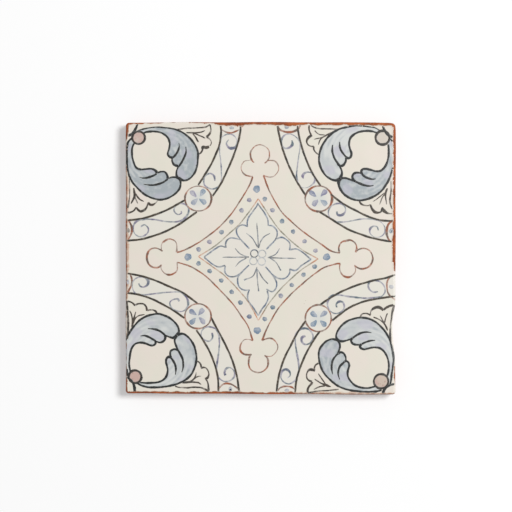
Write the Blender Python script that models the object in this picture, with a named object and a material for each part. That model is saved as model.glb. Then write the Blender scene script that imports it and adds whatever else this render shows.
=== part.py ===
"""Square glazed terracotta tile, hand pressed, lying face up.

Metres, +Z up. The origin is the middle of the back, at the level that the tile lies on.
+X runs to the tile's right and +Y to its top, as the painted face is seen.
"""

import bpy
import numpy as np

mm = 0.001

# The tile as it was cut: a true square with round corners
width = 150.0 * mm
depth = 150.75 * mm
thickness = 10.0 * mm
corner_radius = 1.8 * mm

# The rim of the face, the foot of the sides, and how far the back is set in behind the face
face_arris = 1.1 * mm
back_arris = 0.6 * mm
back_draft = 0.5 * mm

# How the cut edges stray from the square
top_crown = 0.35 * mm
bottom_slant = 0.35 * mm
right_taper = 0.28 * mm
worn_corner = 0.5 * mm
worn_reach = 2.4 * mm
edge_wave = 0.08 * mm
edge_wave_length = 47.0 * mm

# The finger dent in the right side, lower half
dent_depth = 1.8 * mm
dent_y = -37.5 * mm
dent_reach_up = 8.9 * mm
dent_reach_down = 12.8 * mm
dent_power = 2.4

# The pressed clay face: low swells, and a slight fall towards the rim
swell = 0.14 * mm
swell_length = 95.0 * mm
rim_fall = 0.25 * mm

# Mesh fineness; the steps along Y are the finer ones, for the dent
steps_x = 14
steps_y = 36
corner_steps = 3
arris_steps = 4

glaze_colour = (0.76, 0.71, 0.63, 1.0)
glaze_roughness = 0.28


def grid_lines(steps):
    """The grid lines across the tile, as two numbers each, which add up along the axis.

    The first runs from -1 to 1 over the straight part of a side and then stays there. The
    second is nought on the straight part and grows to -1 or 1 through the corner at each end.
    """
    rise = np.arange(corner_steps, 0, -1) / corner_steps
    run = np.linspace(-1.0, 1.0, steps + 1)
    straight = np.concatenate([np.full(corner_steps, -1.0), run, np.full(corner_steps, 1.0)])
    corner = np.concatenate([-rise, np.zeros(steps + 1), rise[::-1]])
    return straight, corner


def rounded_square(straight_x, corner_x, straight_y, corner_y, inset):
    """Plan points of the rounded square, set in by inset.

    A point in a corner zone is mapped from the unit square to the unit disc: x is
    u * sqrt(1 - v * v / 2) and y is v * sqrt(1 - u * u / 2), so the zone's outer edges
    fall on the corner's arc. Elsewhere only one of u and v is not nought.
    """
    radius = corner_radius - inset
    run_x = width / 2 - corner_radius
    run_y = depth / 2 - corner_radius
    x = straight_x * run_x + radius * corner_x * np.sqrt(1 - corner_y**2 / 2)
    y = straight_y * run_y + radius * corner_y * np.sqrt(1 - corner_x**2 / 2)
    return x, y


def dent(y):
    """How far the finger dent moves the right edge in: a bell of the distance from dent_y."""
    reach = np.where(y > dent_y, dent_reach_up, dent_reach_down)
    return dent_depth * np.exp(-(np.abs((y - dent_y) / reach) ** dent_power))


def hand_cut(x, y):
    """Moves plan points of the true square to the tile's real, slightly uneven plan.

    Each side's own shift is full at that side and fades to nothing at the middle.
    """
    right = np.clip(2 * x / width, 0, 1)
    left = np.clip(-2 * x / width, 0, 1)
    top = np.clip(2 * y / depth, 0, 1)
    bottom = np.clip(-2 * y / depth, 0, 1)
    wave_x = edge_wave * np.sin(2 * np.pi * y / edge_wave_length)
    wave_y = edge_wave * np.sin(2 * np.pi * x / edge_wave_length + 1.0)
    taper = right_taper * (0.5 - y / depth)
    crown = top_crown * (1 - (2 * x / width) ** 2)
    slant = bottom_slant * 2 * x / width
    moved_x = x + right * (wave_x - taper - dent(y)) - left * wave_x
    moved_y = y + top * (wave_y + crown) - bottom * (wave_y + slant)
    corner_gap = np.hypot(x - width / 2, y - depth / 2)
    wear = worn_corner * np.exp(-((corner_gap / worn_reach) ** 2)) / np.sqrt(2)
    return moved_x - wear, moved_y - wear


def face_height(x, y):
    """Height of the pressed face: the thickness, two crossing swells, and the fall at the rim."""
    waves = np.sin(2 * np.pi * (x + 0.4 * y) / swell_length)
    waves = waves * np.cos(2 * np.pi * (y - 0.3 * x) / swell_length + 0.6)
    rim = np.maximum(np.abs(2 * x / width), np.abs(2 * y / depth)) ** 6
    return thickness - swell * (1 - waves) / 2 - rim_fall * rim


def boundary(grid):
    """The outer points of a grid, counter-clockwise from its first corner."""
    return np.concatenate([grid[0, :-1], grid[:-1, -1], grid[-1, :0:-1], grid[:0:-1, 0]])


def tile_mesh():
    """The face as a grid, then rings down the arris and the side to the flat back."""
    across, along = grid_lines(steps_x), grid_lines(steps_y)
    straight_y, straight_x = np.meshgrid(along[0], across[0], indexing="ij")
    corner_y, corner_x = np.meshgrid(along[1], across[1], indexing="ij")

    x, y = rounded_square(straight_x, corner_x, straight_y, corner_y, face_arris)
    x, y = hand_cut(x, y)
    points = [np.stack([x, y, face_height(x, y)], axis=-1).reshape(-1, 3)]
    index = np.arange(x.size).reshape(x.shape)
    faces = np.stack([index[:-1, :-1], index[:-1, 1:], index[1:, 1:], index[1:, :-1]], axis=-1)
    faces = faces.reshape(-1, 4).tolist()

    edge = [boundary(values) for values in (straight_x, corner_x, straight_y, corner_y)]
    angles = np.linspace(np.pi / 2, 0, arris_steps + 1)[1:]
    insets = list(face_arris * (1 - np.cos(angles))) + [back_draft, back_draft + back_arris]
    drops = list(face_arris * (1 - np.sin(angles)))
    ring = boundary(index)
    for step, inset in enumerate(insets):
        x, y = hand_cut(*rounded_square(*edge, inset))
        if step < arris_steps:
            z = face_height(x, y) - drops[step]
        elif step == arris_steps:
            z = np.full(len(x), back_arris)
        else:
            z = np.zeros(len(x))
        start = sum(len(block) for block in points)
        points.append(np.stack([x, y, z], axis=-1))
        below = start + np.arange(len(x))
        quads = np.stack([ring, below, np.roll(below, -1), np.roll(ring, -1)], axis=-1)
        faces += quads.tolist()
        ring = below
    faces.append(ring[::-1].tolist())
    return np.concatenate(points), faces


def centred(points):
    """The points with the middle of their plan box at the origin."""
    middle = (points.min(axis=0) + points.max(axis=0)) / 2
    return points - [middle[0], middle[1], 0.0]


def glaze_material():
    material = bpy.data.materials.new("glazed_terracotta")
    material.use_nodes = True
    shader = material.node_tree.nodes["Principled BSDF"]
    shader.inputs["Base Color"].default_value = glaze_colour
    shader.inputs["Roughness"].default_value = glaze_roughness
    shader.inputs["Metallic"].default_value = 0.0
    return material


def main():
    for old in list(bpy.data.objects):
        bpy.data.objects.remove(old, do_unlink=True)
    points, faces = tile_mesh()
    mesh = bpy.data.meshes.new("tile")
    mesh.from_pydata(centred(points).tolist(), [], faces)
    mesh.materials.append(glaze_material())
    mesh.shade_smooth()
    mesh.set_sharp_from_angle(angle=np.radians(50))
    bpy.context.scene.collection.objects.link(bpy.data.objects.new("tile", mesh))


main()
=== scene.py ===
import bpy
import numpy as np
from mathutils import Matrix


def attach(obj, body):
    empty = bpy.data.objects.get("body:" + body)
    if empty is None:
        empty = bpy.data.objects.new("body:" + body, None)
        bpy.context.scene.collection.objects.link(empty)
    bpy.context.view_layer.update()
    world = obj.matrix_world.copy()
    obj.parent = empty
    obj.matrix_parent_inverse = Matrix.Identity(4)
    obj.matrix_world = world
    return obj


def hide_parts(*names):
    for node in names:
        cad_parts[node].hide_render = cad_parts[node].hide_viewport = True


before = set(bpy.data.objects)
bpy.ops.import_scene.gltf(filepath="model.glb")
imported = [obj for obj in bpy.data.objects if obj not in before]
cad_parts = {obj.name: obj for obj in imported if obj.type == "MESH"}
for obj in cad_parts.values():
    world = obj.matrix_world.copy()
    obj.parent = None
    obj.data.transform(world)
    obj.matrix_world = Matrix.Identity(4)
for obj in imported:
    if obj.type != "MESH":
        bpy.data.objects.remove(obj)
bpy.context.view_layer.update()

# Square terracotta tile with a cream glaze and brushed ornament. Shapes are worked out in
# millimetres, x to the right and y to the top of the painted face, and meshes are in metres.
mm = 0.001

# The plan and the pressed face, with the same values and formulas as the solid
tile = {
    "width": 150.0,
    "depth": 150.75,
    "thickness": 10.0,
    "cornerRadius": 1.8,
    "faceArris": 1.1,        # rounding of the face's rim
    "backArris": 0.6,
    "backDraft": 0.5,        # how far the back is set in
    "topCrown": 0.35,
    "bottomSlant": 0.35,
    "rightTaper": 0.28,
    "wornCorner": 0.5,
    "wornReach": 2.4,
    "edgeWave": 0.08,
    "edgeWaveLength": 47.0,
    "dentDepth": 1.8,        # finger dent in the right side
    "dentY": -37.5,
    "dentReachUp": 8.9,
    "dentReachDown": 12.8,
    "dentPower": 2.4,
    "swell": 0.14,
    "swellLength": 95.0,
    "rimFall": 0.25,
}
quarterTurn = np.pi / 2
arrisPath = tile["faceArris"] * quarterTurn    # length of the way round the rim


def smooth(value, low, high):    # 0 below low, 1 above high, and 3t^2 - 2t^3 between
    t = np.clip((value - low) / (high - low), 0, 1)
    return t * t * (3 - 2 * t)


def gridLines(steps, cornerSteps):
    # Lines across the tile as two numbers that add up along an axis: the first runs from -1
    # to 1 over the straight part, the second is 0 there and grows to -1 or 1 in the corners.
    rise = np.arange(cornerSteps, 0, -1) / cornerSteps
    run = np.linspace(-1.0, 1.0, steps + 1)
    straight = np.concatenate([np.full(cornerSteps, -1.0), run, np.full(cornerSteps, 1.0)])
    corner = np.concatenate([-rise, np.zeros(steps + 1), rise[::-1]])
    return straight, corner


def roundedSquare(straightX, cornerX, straightY, cornerY, inset):
    # The rounded square set in by inset. A corner goes from the unit square to the unit
    # disc: x = u * sqrt(1 - v^2 / 2) and y = v * sqrt(1 - u^2 / 2).
    radius = tile["cornerRadius"] - inset
    runX = tile["width"] / 2 - tile["cornerRadius"]
    runY = tile["depth"] / 2 - tile["cornerRadius"]
    x = straightX * runX + radius * cornerX * np.sqrt(1 - cornerY**2 / 2)
    y = straightY * runY + radius * cornerY * np.sqrt(1 - cornerX**2 / 2)
    return x, y


def dent(y):    # a bell of the distance from the dent's middle
    reach = np.where(y > tile["dentY"], tile["dentReachUp"], tile["dentReachDown"])
    gap = np.abs((y - tile["dentY"]) / reach)
    return tile["dentDepth"] * np.exp(-(gap ** tile["dentPower"]))


def handCut(x, y):
    # Moves the true square to the tile's uneven plan. Each side's shift is full at that
    # side and fades to nothing at the middle; the top right corner is worn round.
    right = np.clip(2 * x / tile["width"], 0, 1)
    left = np.clip(-2 * x / tile["width"], 0, 1)
    top = np.clip(2 * y / tile["depth"], 0, 1)
    bottom = np.clip(-2 * y / tile["depth"], 0, 1)
    waveX = tile["edgeWave"] * np.sin(2 * np.pi * y / tile["edgeWaveLength"])
    waveY = tile["edgeWave"] * np.sin(2 * np.pi * x / tile["edgeWaveLength"] + 1.0)
    taper = tile["rightTaper"] * (0.5 - y / tile["depth"])
    crown = tile["topCrown"] * (1 - (2 * x / tile["width"]) ** 2)
    slant = tile["bottomSlant"] * 2 * x / tile["width"]
    movedX = x + right * (waveX - taper - dent(y)) - left * waveX
    movedY = y + top * (waveY + crown) - bottom * (waveY + slant)
    gap = np.hypot(x - tile["width"] / 2, y - tile["depth"] / 2)
    wear = tile["wornCorner"] * np.exp(-((gap / tile["wornReach"]) ** 2)) / np.sqrt(2)
    return movedX - wear, movedY - wear


def faceHeight(x, y):    # the thickness, less two crossing swells and a fall at the rim
    waves = np.sin(2 * np.pi * (x + 0.4 * y) / tile["swellLength"])
    waves = waves * np.cos(2 * np.pi * (y - 0.3 * x) / tile["swellLength"] + 0.6)
    rim = np.maximum(np.abs(2 * x / tile["width"]), np.abs(2 * y / tile["depth"])) ** 6
    return tile["thickness"] - tile["swell"] * (1 - waves) / 2 - tile["rimFall"] * rim


# How many sine waves make up the noise, and what brings their sum to between about -1 and 1
noise = {"cloudWaves": 12, "cloudSum": 3.4, "lineWaves": 10, "lineSum": 3.2}


def cloud(x, y, size, seed, z=0.0):
    # Soft noise between about -1 and 1: sine waves of seeded directions, lengths and phases
    dice = np.random.default_rng(seed)
    total = 0.0
    for turn, lean, phase, scale in dice.random((noise["cloudWaves"], 4)):
        pull = (0.6 + 0.9 * scale) / size
        flow = x * np.cos(np.pi * 2 * turn) + y * np.sin(np.pi * 2 * turn) + z * (2 * lean - 1)
        total = total + np.sin(2 * np.pi * (flow * pull + phase))
    return total / noise["cloudSum"]


def ragged(along, lap, size, seed):
    # Closed rough line between about -1 and 1: sine waves that fit the lap whole times
    dice = np.random.default_rng(seed)
    total = 0.0
    for phase, scale in dice.random((noise["lineWaves"], 2)):
        repeats = np.round(lap / size * (0.5 + 1.2 * scale))
        total = total + np.sin(2 * np.pi * (along / lap * repeats + phase))
    return total / noise["lineSum"]


def boundary(grid):    # outer points of a grid, counter-clockwise from its first corner
    return np.concatenate([grid[0, :-1], grid[:-1, -1], grid[-1, :0:-1], grid[:0:-1, 0]])


def latticeOf(steps, cornerSteps):
    # The four grid numbers of every crossing of the lines, and those along the outer ring
    straight, corner = gridLines(steps, cornerSteps)
    straightY, straightX = np.meshgrid(straight, straight, indexing="ij")
    cornerY, cornerX = np.meshgrid(corner, corner, indexing="ij")
    crossings = (straightX, cornerX, straightY, cornerY)
    return crossings, [boundary(values) for values in crossings]


# Where the glaze stops round the rim: along each side in mm, how much clay is left bare as
# seen from above, and below nought how far the glaze runs on down the side instead
rim = {
    "lap": 600.0,
    "top": [(-75, 1.2), (-71, 0.7), (-66, 0.45), (-58, 0.4), (-54, 0.1), (-41, -0.1), (-37, 0.4),
            (-27, 0.5), (-24.5, 1.05), (-21.5, 1.65), (-14, 1.98), (-9.5, 1.8), (-8, 1.4),
            (-2, 1.25), (4, 1.5), (12, 1.6), (15, 2.1), (18.5, 2.1), (21, 1.4), (25, 1.4),
            (26.5, 0.7), (28, 1.4), (36, 1.5), (62, 1.5), (75, 1.5)],
    "right": [(75, 1.5), (64, 1.5), (40, 1.35), (26, 1.3), (14, 1.65), (4, 1.9), (-2, 1.5),
              (-7, 0.5), (-11, -1.2), (-30, -2.0), (-48, -1.6), (-58, -0.6), (-60.5, 0.6),
              (-63, 0.35), (-67, 0.6), (-70, 0.1), (-75, -0.6)],
    "bottom": [(-75, 0.85), (-60, 1.08), (-40, 1.03), (-26, 1.05), (-22, 1.2), (-12, 1.1),
               (-8, 0.9), (1, 0.9), (3, 0.5), (5, 1.0), (17, 1.05), (21, 0.4), (26, 0.3), (34, 0.5),
               (42, 0.3), (52, 0.45), (62, 0.3), (75, 0.35)],
    "left": [(75, 1.6), (71, 1.3), (68, 0.6), (64, 0.2), (48, 0.1), (45, 0.4), (30, 0.5),
             (24, 0.35), (18, 0.5), (-4, 0.5), (-10, 0.35), (-17, 0.45), (-22, 0.2),
             (-40, 0.1), (-60, 0.1), (-64, 0.4), (-75, 0.8)],
    # how far in from the lip the glaze is thin and rosy, going round from the bottom left
    # wider on the left and the bottom, which face away from the light: there the band is painted
    # shade as well as thin glaze
    "thin": [(0, 0.5), (88, 0.5), (100, 1.2), (132, 1.5), (147, 1.0), (152, 0.5), (300, 0.5),
             (450, 0.5), (468, 0.9), (485, 1.5), (500, 1.1), (520, 1.7), (545, 1.3), (558, 0.6),
             (600, 0.5)],
    "roughness": 0.2,
    "roughSize": 7.0,
    "fineRoughness": 0.19,
    "fineSize": 1.7,
    "calm": (-0.3, 0.8),     # where a slow wave lies between these, the fine one fades in
}


def lipAlong(around):
    # The lip's place on the way over the rim, for places around the tile that start at the
    # bottom left corner and run counter-clockwise: 0 where the flat face ends, more as it
    # goes over the rim and down the side. Bare clay of width b as seen from above, inside
    # the rounding r, puts it at r * asin(1 - b / r).
    half = rim["lap"] / 8
    sides = [[(half + at, bare) for at, bare in sorted(rim["bottom"])],
             [(3 * half + at, bare) for at, bare in sorted(rim["right"])],
             [(5 * half - at, bare) for at, bare in sorted(rim["top"], reverse=True)],
             [(7 * half - at, bare) for at, bare in sorted(rim["left"], reverse=True)]]
    known = np.array([pair for side in sides for pair in side])
    bare = np.interp(around, known[:, 0], known[:, 1])
    bare = bare + rim["roughness"] * ragged(around, rim["lap"], rim["roughSize"], 3)
    calm = smooth(ragged(around, rim["lap"], rim["roughSize"], 4), *rim["calm"])
    bare = bare + rim["fineRoughness"] * ragged(around, rim["lap"], rim["fineSize"], 5) * calm
    arris = tile["faceArris"]
    turned = arris * np.arcsin(np.clip(1 - bare / arris, 0, 1))
    return np.where(bare > arris, arris - bare, turned) + np.maximum(-bare, 0)


# The glaze over the clay
coat = {
    "steps": 176,
    "cornerSteps": 3,
    "band": 4.0,             # width of the fine rings on the face, in from the rounding
    "bandRings": 16,
    "seamGap": 0.6,          # from the innermost ring to the grid inside it
    "arrisRings": 8,
    "skirt": 5.0,            # how far the coat's mesh goes down the side
    "skirtRings": 12,
    "thickness": 0.29,
    "rise": 0.8,             # how far in from the lip the glaze has its whole thickness
    "dip": 0.16,             # beyond the lip the coat's mesh dips by this into the clay
    "dipRun": 0.35,          # and takes this far to do so
    "clayUnder": 0.35,       # depth of the clay under the glaze, below the tile's outside
    "clayBare": 0.03,        # depth of the clay's skin where it is bare
    "covered": (-0.6, 1.0),  # how far in from the lip the clay goes from bare to covered
    "wave": 0.02,
    "waveSize": 16.0,
    "waveFrom": (0.2, 1.5),  # how far in from the lip the waves of the glaze set in
    "farIn": -50.0,          # a place far in from the rim, as the way over the rim counts
    "inside": 1.0,           # how far in the coat's hidden side lies
    "undersideHeight": 8.95,
    "faceRoom": 9.0,         # room that the flat face's points are given, in from the lip
    "hiddenRoom": -1.0,      # and points that no glaze shows on
}


def claySink(along, lip):    # from bare to covered over a short way either side of the lip
    covered = smooth(lip - along, *coat["covered"])
    return coat["clayBare"] + (coat["clayUnder"] - coat["clayBare"]) * covered


def coatSink(along, lip, x, y):
    # The clay's depth less the glaze's thickness, which rises from the lip as a quarter
    # round, t * sqrt(1 - (1 - d)^2), and beyond the lip the glaze dips under the clay.
    room = lip - along
    rise = np.clip(room / coat["rise"], 0, 1)
    body = coat["thickness"] * np.sqrt(1 - (1 - rise) ** 2)
    dip = coat["dip"] * np.clip(-room / coat["dipRun"], 0, 1)
    wave = coat["wave"] * cloud(x, y, coat["waveSize"], 11) * smooth(room, *coat["waveFrom"])
    return claySink(along, lip) - body + dip + wave


def wallPoints(edge, along, sink):
    # Rings over the rim and down the side. along is the way from the end of the flat face:
    # round the rim its angle is along / r, the inset r * (1 - sin) and the drop
    # r * (1 - cos). sink moves the surface in, square to itself.
    angle = np.clip(along / tile["faceArris"], 0, quarterTurn)
    down = np.maximum(along - arrisPath, 0)
    sideLength = tile["thickness"] - tile["faceArris"] - tile["backArris"]
    share = np.minimum(down / sideLength, 1)
    inset = tile["faceArris"] * (1 - np.sin(angle)) + tile["backDraft"] * share
    x, y = roundedSquare(*edge, inset + sink * np.sin(angle))
    shrink = 1 + np.minimum(along, 0) / (tile["width"] / 2 - tile["faceArris"])
    x, y = handCut(x * shrink, y * shrink)
    top = faceHeight(x, y) - tile["faceArris"] * (1 - np.cos(angle))
    z = top - share * (top - tile["backArris"]) - sink * np.cos(angle)
    return np.stack([x, y, z], axis=-1)


def ringFaces(first, count, rings):
    # Quads between each ring and the next lower one, facing out
    here = first + np.arange(rings - 1)[:, None] * count + np.arange(count)[None, :]
    beside = first + np.arange(rings - 1)[:, None] * count + (np.arange(count)[None, :] + 1) % count
    return np.stack([here, here + count, beside + count, beside], axis=-1).reshape(-1, 4)


def gridFaces(rows, columns, first=0):
    # Quads between the neighbouring lines of a grid of points, facing up
    index = first + np.arange(rows * columns).reshape(rows, columns)
    quads = np.stack([index[:-1, :-1], index[:-1, 1:], index[1:, 1:], index[1:, :-1]], axis=-1)
    return index, quads.reshape(-1, 4)


def seamFaces(inner, outer):
    # Joins the grid's border to a ring with twice as many points, three triangles a step
    nextInner = np.roll(inner, -1)
    even, odd, following = outer[0::2], outer[1::2], np.roll(outer[0::2], -1)
    return np.concatenate([np.stack([inner, even, odd], axis=-1),
                           np.stack([inner, odd, nextInner], axis=-1),
                           np.stack([nextInner, odd, following], axis=-1)])


def centreOfPlan():    # the middle of the plan's box, which goes to the origin
    edge = latticeOf(400, 8)[1]
    x, y = handCut(*roundedSquare(*edge, 0.0))
    return (x.min() + x.max()) / 2, (y.min() + y.max()) / 2


shiftX, shiftY = centreOfPlan()


def aroundOf(edge):    # place around the tile of each ring point, from the bottom left corner
    x, y = roundedSquare(*edge, 0.0)
    gaps = np.hypot(np.diff(x, append=x[0]), np.diff(y, append=y[0]))
    lengths = np.concatenate([[0], np.cumsum(gaps)])
    return lengths[:-1] / lengths[-1] * rim["lap"]


def newPiece(name, points, faces, material, attributes=None):
    # One mesh from points in millimetres; faces is a list of arrays, one for each number of
    # corners
    mesh = bpy.data.meshes.new(name)
    places = (points - [shiftX, shiftY, 0.0]) * mm
    polygons = [face for block in faces for face in np.asarray(block).tolist()]
    mesh.from_pydata(places.tolist(), [], polygons)
    for label, values in (attributes or {}).items():
        layer = mesh.attributes.new(label, "FLOAT", "POINT")
        layer.data.foreach_set("value", np.asarray(values, dtype=np.float32))
    mesh.materials.append(material)
    mesh.shade_smooth()
    piece = bpy.data.objects.new(name, mesh)
    bpy.context.scene.collection.objects.link(piece)
    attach(piece, "root")
    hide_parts("tile")
    print("made", name, "with", sum(len(face) - 2 for face in polygons), "triangles")
    return piece


# The brushed ornament. Its strokes were placed on enlarged views of the tile, here
# called sheets: x to the right and y down, with each sheet's left and top in the picture and
# its units to one picture pixel. onFace turns them into millimetres.
sheets = {
    "photo": (0.0, 0.0, 1.0),
    "topLeft": (115.0, 112.0, 10.814),
    "topRight": (255.0, 112.0, 10.814),
    "bottomLeft": (115.0, 257.0, 10.814),
    "bottomRight": (255.0, 257.0, 10.814),
    "middle": (195.0, 193.0, 12.06),
}
face = {"centreX": 260.8, "centreY": 258.25, "mmPerPixel": 0.5547}

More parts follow.
